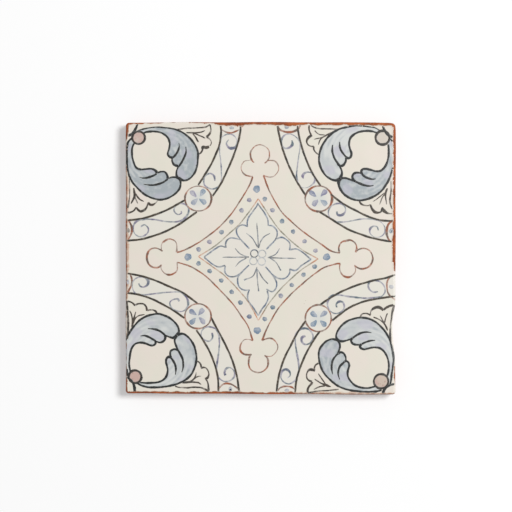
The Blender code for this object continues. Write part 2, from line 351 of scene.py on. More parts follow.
corners = {
    "topLeft": {
        "ball": (255, 278, 68),
        "petal": [(243, 96), (238, 140), (222, 182), (195, 225), (150, 255), (100, 270)],
        "leafA": {
            "outer": [(240, 205, 0.8), (330, 178, 0.7), (430, 165, 0.7), (530, 168, 0.75),
             (640, 185, 0.85), (720, 215, 0.95), (800, 275, 1), (860, 345, 1), (895, 430, 1.05),
             (897, 500, 1.05), (888, 580, 1), (865, 650, 0.95), (830, 700, 0.95), (780, 735, 1),
             (735, 738, 1.05), (690, 715, 1.15)],
            "inner": [[(298, 238), (330, 220), (400, 210), (470, 215), (530, 240), (575, 285),
              (592, 340), (585, 400), (570, 450), (590, 485), (620, 495)],
             [(620, 495), (618, 530), (640, 570), (680, 585)],
             [(685, 590), (665, 640), (668, 690), (690, 718)]],
            "veins": [[(690, 335), (695, 370), (680, 420), (650, 470), (620, 500)],
             [(765, 375), (768, 430), (745, 500), (710, 560), (680, 600)]],
        },
        "leafB": {
            "outer": [(180, 285), (145, 320), (130, 400), (130, 520), (135, 600), (150, 680),
             (190, 760), (250, 830), (320, 890), (400, 930), (480, 948), (560, 935), (630, 900),
             (690, 840), (710, 780), (705, 740), (690, 718)],
            "inner": [[(215, 330), (196, 358), (185, 400), (185, 470), (200, 540), (230, 600),
              (270, 620), (330, 618), (400, 615), (440, 635), (455, 660)],
             [(455, 660), (500, 645), (540, 650), (568, 690), (570, 720)],
             [(570, 720), (620, 705), (660, 708), (690, 718)]],
            "veins": [[(265, 705), (310, 715), (370, 705), (420, 685), (450, 665)],
             [(310, 780), (380, 790), (450, 785), (520, 760), (570, 725)]],
        },
        "leafTones": (0.72, 0.75),
        "lineWeight": 1.0,
        "ballTone": 0.38,
        "palmetteRims": [[(176.5, 129.5, 1.2), (181.8, 128.9, 1.2), (187.6, 128.1, 1.2),
          (193.5, 128, 1.2), (199.4, 127.7, 1.3), (205.3, 127.1, 1.3), (208.2, 125.6, 1.3),
          (210, 124.6, 1.6)],
         [(210, 124.6, 1.6), (210.7, 127.5, 1.2), (210.8, 130.5, 1.3), (209.8, 133.5, 1.9),
          (206.6, 137.1, 2.3)],
         [(206.6, 136.9, 1.6), (209.8, 139.2, 1.2), (211.3, 142, 1.1), (210.9, 144.5, 1),
          (209.8, 146, 1)],
         [(209.2, 146.8, 2.2), (205.9, 147.6, 2.7), (202.5, 146.9, 2.4), (202.4, 149.8, 1.6),
          (200.9, 152.7, 1.6), (198.4, 154.4, 1.5)],
         [(128.9, 175.5, 0.9), (129.6, 183.8, 1), (129.7, 192.6, 1), (129.2, 199.6, 1.1),
          (128.3, 204.9, 1.8), (127.2, 209, 1.9), (126.8, 212, 1.9)],
         [(126.8, 211.8, 2), (128.9, 212.6, 2.1), (131.2, 212, 1.7), (134, 210.4, 1.4),
          (136.2, 207.3, 1.5)],
         [(136.2, 207.3, 1.5), (138, 209.6, 1.8), (140.4, 211.3, 2.1), (143, 210.8, 2.1),
          (145.4, 209.1, 1.9), (147.2, 206.1, 1.7), (148.2, 202.6, 1.6)],
         [(148, 202.6, 2), (150.1, 204.5, 2.2), (152.4, 204.9, 2.1), (154.8, 203.6, 1.3),
          (156.6, 202, 1), (157.8, 200.2, 0.9)]],
        "palmetteVeins": [[(185.9, 132.4, 1.2), (190, 132.7, 1.5), (195.3, 132.7, 1.3),
          (200, 132.4, 1.2), (202.9, 131.4, 1.2), (205, 130.4, 1)],
         [(192.5, 133.1, 1.2), (195.9, 133.9, 1.3), (199.4, 135.6, 1.2), (202.4, 136.8, 1.5),
          (205.3, 138.3, 1)],
         [(192.6, 133.6, 1.3), (195.3, 136.8, 1.5), (197.1, 139.8, 1.6), (198.5, 142.1, 1.4)],
         [(133.7, 187.9, 1.4), (134.2, 191.5, 2.1), (134.6, 195.5, 2), (133, 199.6, 1.8),
          (130.9, 203.8, 1.3)],
         [(134.8, 193.8, 1.4), (135.4, 197.9, 1.1), (136.8, 201.4, 1.1), (137.7, 203.8, 0.9)],
         [(134.8, 192.6, 1.6), (136.5, 195.5, 1.5), (138.9, 198.5, 1.5), (141.2, 200.2, 1.4),
          (143.9, 201.4, 1)]],
        "rings": [[(1360, 95), (1356, 200), (1330, 330), (1290, 450), (1220, 620), (1130, 800),
          (1055, 910)],
         [(885, 1080), (700, 1210), (560, 1285), (400, 1345), (260, 1380), (100, 1392)],
         [(1130, 90), (1142, 150), (1148, 210), (1130, 350), (1080, 480), (1020, 600), (900, 790)],
         [(750, 955), (600, 1040), (450, 1105), (300, 1150), (100, 1178)]],
        "scrolls": [[(1230, 300, 0.9), (1205, 340, 1.3), (1240, 390, 1.9), (1300, 380, 1.7),
          (1320, 310, 0.9), (1280, 250, 0.9), (1220, 240, 0.9), (1160, 270, 0.9), (1140, 330, 0.9),
          (1130, 400, 0.9), (1140, 500, 1), (1150, 620, 1), (1150, 720, 0.9), (1140, 780, 0.9),
          (1090, 825, 1.2), (1030, 830, 1.3), (970, 790, 1.2), (960, 740, 1), (975, 690, 1.2),
          (1030, 665, 1.4), (1070, 690, 1.5), (1080, 745, 1)],
         [(275, 1240, 1.2), (320, 1220, 1.2), (360, 1260, 1.2), (350, 1310, 1.1), (300, 1345, 1.1),
          (250, 1345, 1), (205, 1300, 1), (200, 1230, 1.2), (240, 1175, 1.6), (320, 1160, 1.4),
          (440, 1165, 1.1), (560, 1185, 1.1), (680, 1185, 1.2), (740, 1160, 1.5), (790, 1100, 1.6),
          (795, 1040, 1.3), (760, 1000, 1.1), (700, 990, 1.1), (650, 1020, 1.2), (640, 1070, 1.2),
          (680, 1110, 1.1), (720, 1090, 1), (715, 1070, 1.1)]],
        "roundel": (900, 936, 144, 135),
        "roundelBroad": (2, 1.5, 1.1, 1.5, 1.8, 1.1, 1, 1.4),
        "halfRoundels": [[(220.9, 129.1, 0.9), (224.7, 131.4, 1.3), (227.9, 132.6, 1.6),
          (231.5, 132.8, 1.6), (236.3, 131.1, 1.6), (238.9, 129.9, 0.8)],
         [(241.1, 127.4, 1.2), (244.2, 125.4, 1.2)],
         [(127.9, 219.9, 1.2), (129.1, 221.2, 1.5), (130.4, 223.7, 1.7), (131.7, 226.8, 2.1),
          (132, 230, 2.1), (131.5, 233.2, 2), (130.2, 236.3, 1.5), (128.6, 238.8, 1.2),
          (127.6, 240.4, 1)]],
        "petals": [(845, 882, 0.64, 0.9), (948, 868, 0.64, 0), (857, 972, 0.58, 0.3),
          (955, 968, 0.67, 0)],
    },
    "topRight": {
        "ball": (1380, 278, 75),
        "petal": [(1378, 100), (1383, 140), (1393, 180), (1414, 219), (1442, 249), (1478, 268),
                  (1530, 284)],
        "leafA": {
            "outer": [(1355, 203, 0.7), (1300, 172, 0.65), (1200, 155, 0.6), (1080, 151, 0.65),
             (1000, 161, 0.85), (900, 190, 1.05), (820, 240, 1.05), (760, 310, 1), (715, 390, 0.95),
             (695, 470, 0.95), (695, 540, 1), (715, 610, 1), (760, 680, 0.95), (820, 725, 0.95),
             (880, 740, 1.1), (918, 718, 1.25)],
            "inner": [[(1315, 225), (1260, 207), (1180, 205), (1110, 222), (1060, 250), (1030, 285),
              (1018, 340), (1028, 400), (1043, 450), (1035, 485), (1010, 500), (985, 490)],
             [(985, 495), (982, 530), (960, 570), (930, 583), (912, 578)],
             [(912, 580), (936, 625), (940, 670), (918, 718)]],
            "veins": [[(917, 322), (918, 375), (940, 430), (985, 488)],
             [(838, 355), (838, 430), (860, 500), (912, 580)]],
        },
        "leafB": {
            "outer": [(1458, 285, 0.5), (1505, 340, 0.6), (1536, 420, 0.7), (1530, 520, 0.7),
             (1492, 590, 0.8), (1474, 660, 0.9), (1450, 730, 0.95), (1416, 788, 1), (1370, 850, 1),
             (1300, 905, 1), (1220, 940, 1), (1140, 955, 0.95), (1060, 945, 0.95), (990, 910, 1),
             (940, 860, 1.15), (910, 800, 1.3), (905, 750, 1.35), (922, 718, 1.3)],
            "inner": [[(1440, 350), (1447, 400), (1445, 470), (1430, 540), (1400, 600), (1360, 635),
              (1310, 640), (1250, 625), (1200, 615), (1165, 620), (1150, 640), (1155, 670)],
             [(1150, 662), (1110, 655), (1075, 662), (1055, 690), (1060, 725), (1080, 748)],
             [(1080, 748), (1030, 730), (970, 714), (922, 718)]],
            "veins": [[(1305, 722), (1265, 727), (1200, 705), (1155, 670)],
             [(1282, 795), (1230, 800), (1150, 780), (1080, 748)]],
        },
        "leafTones": (0.06, 0.6),
        "lineWeight": 1.1,
        "ballTone": 0.12,
        "palmetteRims": [[(309.4, 124.5, 1.5), (309.1, 128.6, 1.7), (309.8, 132.1, 1.6),
          (311, 134.8, 1.8)],
         [(311.9, 134.9, 2.1), (308.8, 137.4, 2.2), (307.1, 139.8, 1.9), (306.8, 142.1, 1.4),
          (307.9, 144.5, 1.3), (310.6, 146.2, 1.4), (313.8, 146.5, 1.8)],
         [(313.8, 146.5, 1.8), (313.8, 149.2, 1.7), (315, 151.5, 1.4), (317.1, 153.6, 1.2),
          (318.8, 154.6, 1.2)],
         [(310, 124.4, 1.5), (311.8, 125.9, 1.4), (315.3, 127.7, 1.3), (320.6, 128.6, 1.3),
          (329.4, 128.9, 1.3), (337.6, 129.2, 1.2), (340.6, 129.2, 1.2)],
         [(359.5, 200.8, 1.7), (360.7, 203.2, 1.8), (363.1, 204.9, 1.4), (366, 205.6, 1.2),
          (368.9, 205.5, 1.2), (370.4, 204.4, 1.2)],
         [(370.3, 204.6, 1.5), (371.3, 207.3, 2), (373.1, 210.2, 2.8), (375.4, 212.2, 2.7),
          (378.4, 212.6, 1.7), (381, 211.7, 1.5), (382.2, 208.5, 1.8)],
         [(382.2, 207.3, 1.6), (383.1, 209.6, 2.5), (385.4, 212, 2.7), (387.8, 213.2, 2),
          (390.7, 213.6, 1.1), (393.8, 213.5, 1.1)],
         [(394, 212.8, 1.5), (392.5, 209.6, 1.6), (391, 206.1, 1.5), (390.1, 202.6, 1.7),
          (390.1, 198.5, 1.6), (391, 192.6, 1.2), (391.1, 186.7, 1.1), (390.9, 180.8, 1)]],
        "palmetteVeins": [[(314.7, 130.6, 1.4), (317.1, 133, 1.2), (320, 134.5, 1.1),
          (325, 135, 1)],
         [(331.5, 132.4, 1.2), (327.6, 134.5, 1.4), (324.1, 136.5, 1.5), (321.2, 138.6, 1.3),
          (319.4, 141.5, 1.3), (318.5, 144.8, 1)],
         [(323.5, 136.7, 1.2), (320, 138, 1.1), (317.1, 138.6, 1.1), (313.8, 139.5, 0.8)],
         [(387.5, 188.2, 1.4), (386, 192, 1.9), (385.4, 195.5, 1.5), (386, 199.6, 1.3),
          (386.6, 204.4, 1)],
         [(385.4, 193.8, 1.3), (383.1, 196.1, 1.1), (381.6, 199.1, 1.1), (379.6, 204.6, 0.9)],
         [(384.8, 192.9, 1.2), (381.3, 195.5, 1), (377.2, 198.8, 1.1), (372.8, 201.5, 0.9)]],
        "rings": [[(236, 90), (245, 160), (262, 250), (300, 400), (350, 540), (430, 710),
          (545, 900)],
         [(700, 1080), (860, 1180), (1000, 1265), (1150, 1325), (1300, 1370), (1470, 1400),
          (1530, 1405)],
         [(448, 90), (462, 170), (485, 300), (530, 450), (590, 600), (650, 710), (710, 800)],
         [(820, 890), (950, 990), (1080, 1060), (1200, 1120), (1330, 1165), (1490, 1180),
          (1540, 1182)]],
        "scrolls": [[(400, 305, 1), (405, 350, 2), (370, 385, 1.5), (320, 390, 1.1),
          (290, 350, 1.2), (290, 290, 1.5), (330, 245, 1), (390, 240, 0.9), (450, 275, 0.9),
          (485, 330, 0.9), (485, 400, 0.9), (470, 500, 0.9), (455, 620, 1.1), (452, 720, 1.5),
          (480, 790, 0.7), (530, 820, 0.5), (600, 800, 0.8), (645, 750, 1.4), (640, 690, 1.3),
          (600, 655, 1), (545, 655, 1.3), (515, 690, 2.1), (525, 720, 1.2)],
         [(885, 1075, 1.2), (895, 1110, 1.7), (940, 1115, 1.8), (975, 1080, 1.5), (975, 1030, 1),
          (940, 995, 1.3), (880, 990, 1.3), (825, 1020, 1.1), (795, 1070, 1), (800, 1120, 0.9),
          (840, 1170, 0.9), (920, 1190, 1), (1000, 1185, 1), (1100, 1165, 1), (1200, 1155, 1),
          (1300, 1165, 0.9), (1370, 1195, 0.9), (1405, 1250, 1), (1400, 1310, 1), (1350, 1350, 0.9),
          (1290, 1350, 0.5), (1245, 1310, 0.9), (1245, 1265, 1.8), (1280, 1235, 1.3),
          (1320, 1240, 1.1), (1335, 1280, 1)]],
        "roundel": (689, 938, 146, 138),
        "roundelBroad": (2.3, 1.5, 1.9, 1.5, 1.5, 1.9, 1.5, 1.4),
        "halfRoundels": [[(277.2, 125.2, 1.9), (278.6, 128.5, 2.2), (280.9, 130.3, 1.9),
          (284.6, 131.6, 2), (289.4, 132.1, 2.1), (293.1, 131.6, 2), (296.2, 130.3, 2),
          (298.8, 128.2, 1.8), (300.3, 125.4, 1.7)],
         [(394.3, 219.4, 1.8), (390.7, 221.8, 2), (388.4, 224.5, 2.1), (387.1, 227.6, 2.3),
          (386.5, 231.3, 2.4), (387.1, 235.5, 2.1), (388.4, 238.7, 1.8), (390, 241, 1.8)]],
        "petals": [(622, 882, 0.82, 0.5), (748, 872, 0.86, 0.8), (648, 985, 0.68, 0.7),
          (750, 982, 0.61, 0)],
    },
    "bottomLeft": {
        "ball": (217, 1295, 69),
        "petal": [(90, 1284), (128, 1298), (160, 1322), (190, 1355), (208, 1400), (214, 1480)],
        "leafA": {
            "outer": [(140, 1290), (125, 1200), (100, 1100), (96, 1000), (118, 895), (150, 830),
             (200, 755), (260, 690), (330, 645), (400, 622), (470, 615), (540, 635), (600, 665),
             (650, 710), (685, 765), (690, 810), (665, 848)],
            "inner": [[(165, 1235), (155, 1180), (155, 1120), (165, 1040), (185, 980), (220, 940),
              (270, 925), (330, 935), (380, 955), (410, 958), (435, 940), (440, 910)],
             [(440, 910), (490, 925), (530, 905), (545, 870), (543, 845)],
             [(543, 848), (590, 865), (630, 873), (665, 848)]],
            "veins": [[(275, 855), (320, 850), (385, 875), (440, 910)],
             [(355, 775), (420, 780), (485, 800), (543, 848)]],
        },
        "leafB": {
            "outer": [(240, 1365), (290, 1390), (350, 1408), (430, 1410), (520, 1405), (600, 1392),
             (690, 1365), (760, 1330), (820, 1275), (860, 1200), (880, 1110), (875, 1030),
             (855, 960), (820, 900), (780, 855), (740, 832), (700, 833), (668, 850)],
            "inner": [[(270, 1358), (330, 1362), (400, 1362), (470, 1352), (520, 1330), (555, 1290),
              (570, 1230), (562, 1180), (552, 1130), (560, 1095), (580, 1080), (605, 1088)],
             [(606, 1085), (597, 1050), (605, 1015), (640, 997), (680, 1005)],
             [(680, 1003), (660, 960), (645, 900), (668, 850)]],
            "veins": [[(652, 1275), (658, 1210), (645, 1150), (606, 1088)],
             [(722, 1248), (738, 1180), (730, 1100), (680, 1005)]],
        },
        "leafTones": (0.2, 0.24),
        "lineWeight": 1.05,
        "ballTone": 0.58,
        "palmetteRims": [[(126.4, 300.9, 1.7), (127, 304.5, 1.9), (127.6, 309.8, 1.8),
          (127.9, 315.6, 1.7), (128.2, 321.5, 1.8), (128.2, 327.4, 1.9), (127.9, 333.3, 1.8),
          (127, 339.2, 1.7)],
         [(126.1, 301.4, 1.9), (129.1, 301.5, 1.5), (132.6, 303, 1.5), (135.2, 305.7, 2)],
         [(135.2, 305.4, 1.8), (137, 304.2, 1.5), (140.8, 303.6, 1.4), (143.8, 304.2, 1.4),
          (145.8, 306.2, 1.8), (146.7, 308.6, 2.2), (147, 310.9, 2)],
         [(147.1, 310.6, 1.6), (150.2, 309.8, 1.2), (153.2, 310.1, 1.3), (155.8, 311.5, 2),
          (157.1, 313.9, 1.9)],
         [(196.6, 360.8, 1.1), (198.9, 362, 1.3), (200.7, 364.4, 1.5), (201.3, 367.3, 1.7)],
         [(200.8, 368.2, 1.9), (203.4, 367.4, 1.6), (205.7, 367.9, 1.2), (207.8, 370.2, 1.2),
          (208.8, 373.2, 1.3), (208.4, 376.1, 1.8), (206.9, 378.2, 2.3), (204.8, 378.5, 1.8)],
         [(205.4, 379.1, 1.2), (206.9, 380.8, 1.2), (208.1, 383.8, 1.3), (208.5, 387.3, 2.1),
          (208.7, 391.1, 2.1)],
         [(175.1, 386.1, 1.2), (178.6, 387.3, 1.3), (183.4, 387.6, 1.4), (188.1, 387.8, 1.5),
          (192.2, 387.4, 1.4), (196.9, 387.3, 1.4), (201, 387.6, 1.6), (203.9, 388.8, 1.7),
          (206.9, 390.2, 1.8), (208.7, 391.4, 1.8)]],
        "palmetteVeins": [[(129.6, 310.6, 1), (131.1, 313.3, 1.3), (132, 317.4, 1.3),
          (132.3, 321.5, 1.4), (131.7, 326.8, 1.2)],
         [(135.8, 311.8, 1), (134.6, 315.6, 1.5), (133.5, 319.8, 2), (132.6, 323.9, 2),
          (131.7, 327.5, 1.3)],
         [(144.6, 314.5, 0.9), (139.6, 315.4, 1.3), (136.4, 317.1, 1.3), (134.6, 319.8, 1.3),
          (133.5, 323.3, 1.3)],
         [(182.2, 382.9, 1.5), (186.3, 382.4, 1.9), (190.4, 382, 1.7), (195.1, 382.3, 1.7),
          (198.6, 382.9, 1.5), (201.2, 384.6, 1.1)],
         [(189.8, 381.4, 1.3), (192.8, 379.9, 1.6), (194.5, 377.9, 1.5), (195.7, 375.5, 1.3),
          (196.3, 372.4, 0.9)],
         [(193.9, 379.4, 1.2), (196.3, 377.3, 1.2), (198.6, 376.4, 1.1), (201.2, 376.2, 0.8)]],
        "rings": [[(100, 172), (160, 182), (300, 210), (450, 260), (600, 325), (730, 385),
          (890, 500)],
         [(1040, 655), (1110, 790), (1200, 960), (1280, 1150), (1320, 1300), (1345, 1480)],
         [(95, 387), (140, 391), (250, 405), (400, 455), (550, 530), (650, 590), (750, 660)],
         [(880, 790), (960, 910), (1040, 1060), (1090, 1200), (1112, 1300), (1120, 1480)]],
        "scrolls": [[(255, 285, 1.1), (275, 318, 1.3), (310, 325, 1.2), (350, 300, 1.7),
          (360, 260, 2.2), (330, 225, 1.4), (280, 218, 0.8), (220, 235, 1), (190, 280, 0.9),
          (190, 340, 0.8), (220, 390, 1.1), (300, 410, 1.1), (400, 400, 1.2), (500, 388, 1.1),
          (600, 380, 1), (700, 380, 0.9), (750, 410, 1.4), (785, 460, 1.7), (790, 520, 1.5),
          (760, 570, 1), (710, 590, 1), (640, 570, 0.9), (600, 530, 1.1), (595, 490, 1.2),
          (630, 460, 1), (680, 455, 1.5), (695, 480, 1.6)],
         [(1050, 820, 1.8), (1055, 870, 1.4), (1020, 910, 1.1), (975, 900, 1), (935, 860, 0.8),
          (935, 810, 1), (970, 765, 1.2), (1030, 755, 1.2), (1090, 780, 1.4), (1120, 840, 1.2),
          (1130, 920, 1.2), (1120, 1040, 1.2), (1105, 1150, 1.4), (1100, 1230, 0.9),
          (1120, 1300, 1), (1180, 1345, 1.1), (1250, 1335, 1.1), (1290, 1290, 1.2), (1285, 1230, 1),
          (1240, 1195, 1.2), (1200, 1210, 1.5), (1185, 1250, 1.5), (1195, 1280, 1.9)]],
        "roundel": (898, 640, 142, 134),
        "roundelBroad": (1.6, 1.3, 1.6, 1.9, 1.3, 1.3, 1.3, 1.6),
        "halfRoundels": [[(129.8, 273.6, 1.3), (131.5, 277.9, 1.8), (131.9, 281.6, 1.8),
          (131.2, 285.3, 1.6), (129.9, 288.4, 1.8), (128.1, 291.6, 1.8), (126.6, 293.2, 1.8)],
         [(217.8, 391.2, 1), (218.6, 389, 1.2), (220.3, 386.9, 1.2), (222.4, 384.8, 1.4),
          (225.5, 383.5, 1.7), (229.2, 383.8, 1.7), (232.9, 385.1, 1.6), (236.6, 387.5, 1.6),
          (238.7, 389.6, 1.4), (240.9, 392, 1.2)]],
        "petals": [(838, 596, 0.8, 0.4), (935, 587, 0.7, 0.6), (838, 697, 0.74, 0.1),
          (946, 690, 0.68, 0.7)],
    },
    "bottomRight": {
        "ball": (1364, 1344, 78),
        "petal": [(1380, 1510), (1386, 1470), (1402, 1430), (1440, 1395), (1500, 1375),
                  (1540, 1368)],
        "leafA": {
            "outer": [(1460, 1382), (1471, 1335), (1477, 1280), (1490, 1200), (1498, 1100),
             (1485, 1000), (1465, 920), (1430, 840), (1370, 760), (1300, 700), (1220, 665),
             (1140, 655), (1060, 670), (980, 705), (920, 760), (885, 820), (880, 870), (908, 908)],
            "inner": [[(1430, 1290), (1445, 1220), (1445, 1140), (1430, 1080), (1395, 1020),
              (1345, 985), (1280, 978), (1220, 990), (1180, 998), (1145, 985), (1135, 960),
              (1150, 945)],
             [(1148, 945), (1100, 950), (1060, 938), (1040, 905), (1052, 880)],
             [(1050, 880), (1000, 900), (950, 912), (908, 908)]],
            "veins": [[(1300, 900), (1250, 905), (1200, 920), (1150, 945)],
             [(1260, 820), (1200, 812), (1130, 828), (1050, 880)]],
        },
        "leafB": {
            "outer": [(1370, 1440), (1300, 1455), (1200, 1458), (1100, 1450), (1000, 1435),
             (900, 1395), (820, 1335), (750, 1260), (710, 1180), (690, 1090), (695, 1010),
             (730, 950), (780, 905), (840, 888), (900, 905)],
            "inner": [[(1300, 1400), (1220, 1418), (1150, 1412), (1090, 1392), (1040, 1350),
              (1005, 1290), (1005, 1230), (1020, 1170), (1010, 1140), (985, 1125), (965, 1135)],
             [(985, 1122), (980, 1080), (955, 1040), (925, 1030), (895, 1045)],
             [(895, 1045), (910, 1010), (918, 950), (900, 905)]],
            "veins": [[(915, 1325), (900, 1270), (915, 1190), (970, 1130)],
             [(840, 1270), (828, 1200), (845, 1110), (895, 1045)]],
        },
        "leafTones": (0.18, 0.46),
        "lineWeight": 1.02,
        "ballTone": 0.95,
        "palmetteRims": [[(360.2, 317.1, 1.8), (361.2, 315.4, 1.7), (362.6, 313.9, 1.4),
          (365.6, 313.4, 1.3), (368.2, 313.9, 1.3), (370.6, 315.3, 1.8)],
         [(370.6, 315.1, 1.2), (370.6, 312.1, 1.2), (371.8, 309.8, 1.7), (374.4, 308, 2.3),
          (378.5, 307.2, 2.6), (381.5, 308.6, 2.5), (383.2, 310.6, 2.3)],
         [(383.6, 310.3, 2.2), (385, 308.6, 2.2), (387.9, 306.8, 2.2), (390.9, 305.6, 2.1),
          (394.1, 305, 2)],
         [(394.1, 305.2, 2), (393.2, 308.6, 1.9), (392.1, 313.3, 1.5), (391.5, 318.6, 1.3),
          (390.6, 324.5, 1.3), (390.3, 330.4, 1.7), (390.3, 336.2, 1.9), (390.9, 343, 1.8)],
         [(318.4, 363.2, 1.7), (316, 364.6, 1.6), (314.6, 367, 1.5), (314.4, 369.6, 1.6),
          (314.5, 371.1, 1.4)],
         [(315.1, 370.5, 2.2), (311.6, 369.6, 2.6), (309.3, 369.8, 2.3), (307.4, 372, 1.5),
          (306.6, 375.5, 1.3), (307.2, 378.5, 1.4), (309.2, 380.5, 1.6), (312, 381.7, 1.7)],
         [(312.5, 382, 1.9), (311, 384.4, 1.9), (308.9, 386.7, 1.8), (307.8, 389.6, 2),
          (307.8, 392.6, 2)],
         [(307.8, 392.7, 1.6), (312.2, 392, 1.3), (316.9, 391.3, 1.3), (322.2, 390.8, 1.2),
          (328.1, 390.5, 1.3), (333.9, 389.9, 1.3), (338.6, 389.4, 1.3)]],
        "palmetteVeins": [[(387.4, 313.3, 1.2), (386.2, 316.2, 1.3), (385.3, 319.8, 1.4),
          (384.6, 323.3, 1.5)],
         [(380, 315.6, 0.9), (381.5, 318, 1.2), (382.9, 320.9, 1.3), (384.7, 323.9, 1.5)],
         [(373.5, 317.1, 1.3), (377.4, 318.6, 1.2), (380.9, 320.6, 1.2), (383.8, 323.3, 1.4),
          (385.2, 325, 1.8), (386.5, 327.4, 1.9), (387.6, 330.6, 1.2)],
         [(318.4, 373.6, 0.9), (320.4, 376.7, 1.3), (322.8, 380.2, 1.4), (325.4, 384, 1.4)],
         [(314.6, 379, 1.1), (318.1, 381.4, 1.4), (322.2, 383.8, 1.5), (326.3, 385.2, 2.2),
          (328.6, 386.1, 2), (331, 386.7, 1.2)],
         [(313.6, 389.6, 0.9), (317.5, 387.6, 1.3), (321.6, 386.4, 1.4), (325.1, 386, 1.5)]],
        "rings": [[(1550, 182), (1505, 196), (1440, 220), (1300, 250), (1150, 290), (1000, 345),
          (850, 420), (700, 520)],
         [(550, 690), (470, 800), (390, 950), (320, 1090), (280, 1200), (250, 1330), (228, 1490)],
         [(1545, 420), (1470, 430), (1300, 455), (1150, 490), (1000, 560), (920, 620), (830, 690)],
         [(700, 805), (640, 890), (570, 1010), (510, 1140), (470, 1250), (445, 1350), (432, 1490)]],
        "scrolls": [[(885, 545, 1.3), (880, 510, 1.5), (915, 480, 1.9), (955, 495, 1.6),
          (965, 550, 1.1), (930, 595, 1.2), (860, 610, 1.1), (810, 580, 1.2), (785, 530, 1.1),
          (790, 470, 1.5), (830, 425, 2.1), (900, 410, 1.3), (1000, 425, 1.2), (1100, 438, 1.4),
          (1200, 445, 1.4), (1300, 440, 1.4), (1370, 425, 1), (1405, 380, 1.2), (1400, 320, 1.1),
          (1350, 265, 1.1), (1290, 250, 1.9), (1240, 270, 1.7), (1225, 310, 1.7), (1240, 350, 1.2),
          (1280, 380, 1.1), (1330, 375, 1)],
         [(545, 855, 1.3), (510, 870, 1.9), (505, 910, 1.8), (540, 945, 1.4), (590, 935, 1.3),
          (625, 890, 1.2), (625, 840, 1.1), (590, 790, 1.3), (540, 770, 1.9), (480, 790, 1.3),
          (440, 840, 1.2), (435, 900, 1.2), (445, 1000, 1.3), (465, 1100, 1.5), (475, 1200, 1.4),
          (460, 1290, 1.3), (430, 1340, 1.2), (370, 1372, 1.3), (310, 1350, 1.1), (280, 1300, 1),
          (290, 1240, 1.7), (330, 1215, 2.1), (370, 1235, 1.8), (380, 1280, 1), (350, 1310, 0.8)]],
        "roundel": (685, 662, 140, 144),
        "roundelBroad": (1.5, 1.3, 1.5, 1.6, 1.5, 1.6, 1.7, 1),
        "halfRoundels": [[(390, 277.2, 1.6), (388.6, 278.9, 1.4), (387.3, 281.6, 1.7),
          (386.8, 284.7, 1.7), (387.1, 288.4, 1.4), (387.8, 292.1, 1.4), (389.7, 295.3, 1.7),
          (392.8, 297.9, 1.3), (395.1, 300.1, 1.2)],
         [(278.2, 390.8, 1), (279.3, 388.5, 1.2), (281.7, 387.2, 1.6), (284.8, 386.4, 1.7),
          (288.5, 386.4, 1.6), (291.7, 387.2, 1.7), (293.9, 388.6, 1.1), (295.6, 390.4, 0.8)]],
        "petals": [(633, 618, 0.71, 0.1), (745, 613, 0.68, 0.3), (635, 722, 0.8, 0),
          (742, 722, 0.75, 0)],
    },
}

star = [[(252.6, 176.7, 1.4), (251.5, 180.6, 1.5), (249.8, 184.7, 1.5), (245, 193), (232.6, 212.1),
  (220.1, 226.2), (203.4, 239.4), (195, 244.6), (188, 248.5, 1.5), (184, 250.2, 1.5),
  (179.9, 251.7, 1.5), (176.7, 252.2, 1.8)],
 [(263.4, 175.4, 1.5), (264.8, 178.8, 1.4), (266.8, 184.7, 1.6), (270.5, 193), (281.2, 211.2),
  (292.8, 222.9), (306.9, 234.5), (319.4, 242.9), (330, 250.4, 1.6), (333.5, 251.8, 1.5),
  (337.1, 252.5, 1.5), (340, 252.6, 1.7)],
 [(177.4, 262.3, 1.2), (180.5, 263.1, 1), (184, 264.3, 1.5), (188, 265.5, 1.5), (195, 268.8),
  (207.4, 277.6), (219.9, 290), (232.3, 303.3), (240.6, 314.9), (247.8, 325.8), (250.2, 332, 1.3),
  (251.6, 336.7, 1.5), (252.8, 340.5, 1.7)],
 [(262, 340.5, 1.8), (263.5, 336.7, 1.6), (265.4, 332, 1.5), (269.4, 323.7), (277.9, 309.1),
  (288.7, 296.6), (302.8, 283.4), (315.2, 273.4), (323.5, 267.8), (330, 265.6, 1.4),
  (334.1, 264.4, 1.4), (337.1, 263.6, 1.5), (340.3, 263.6, 1.6)]]
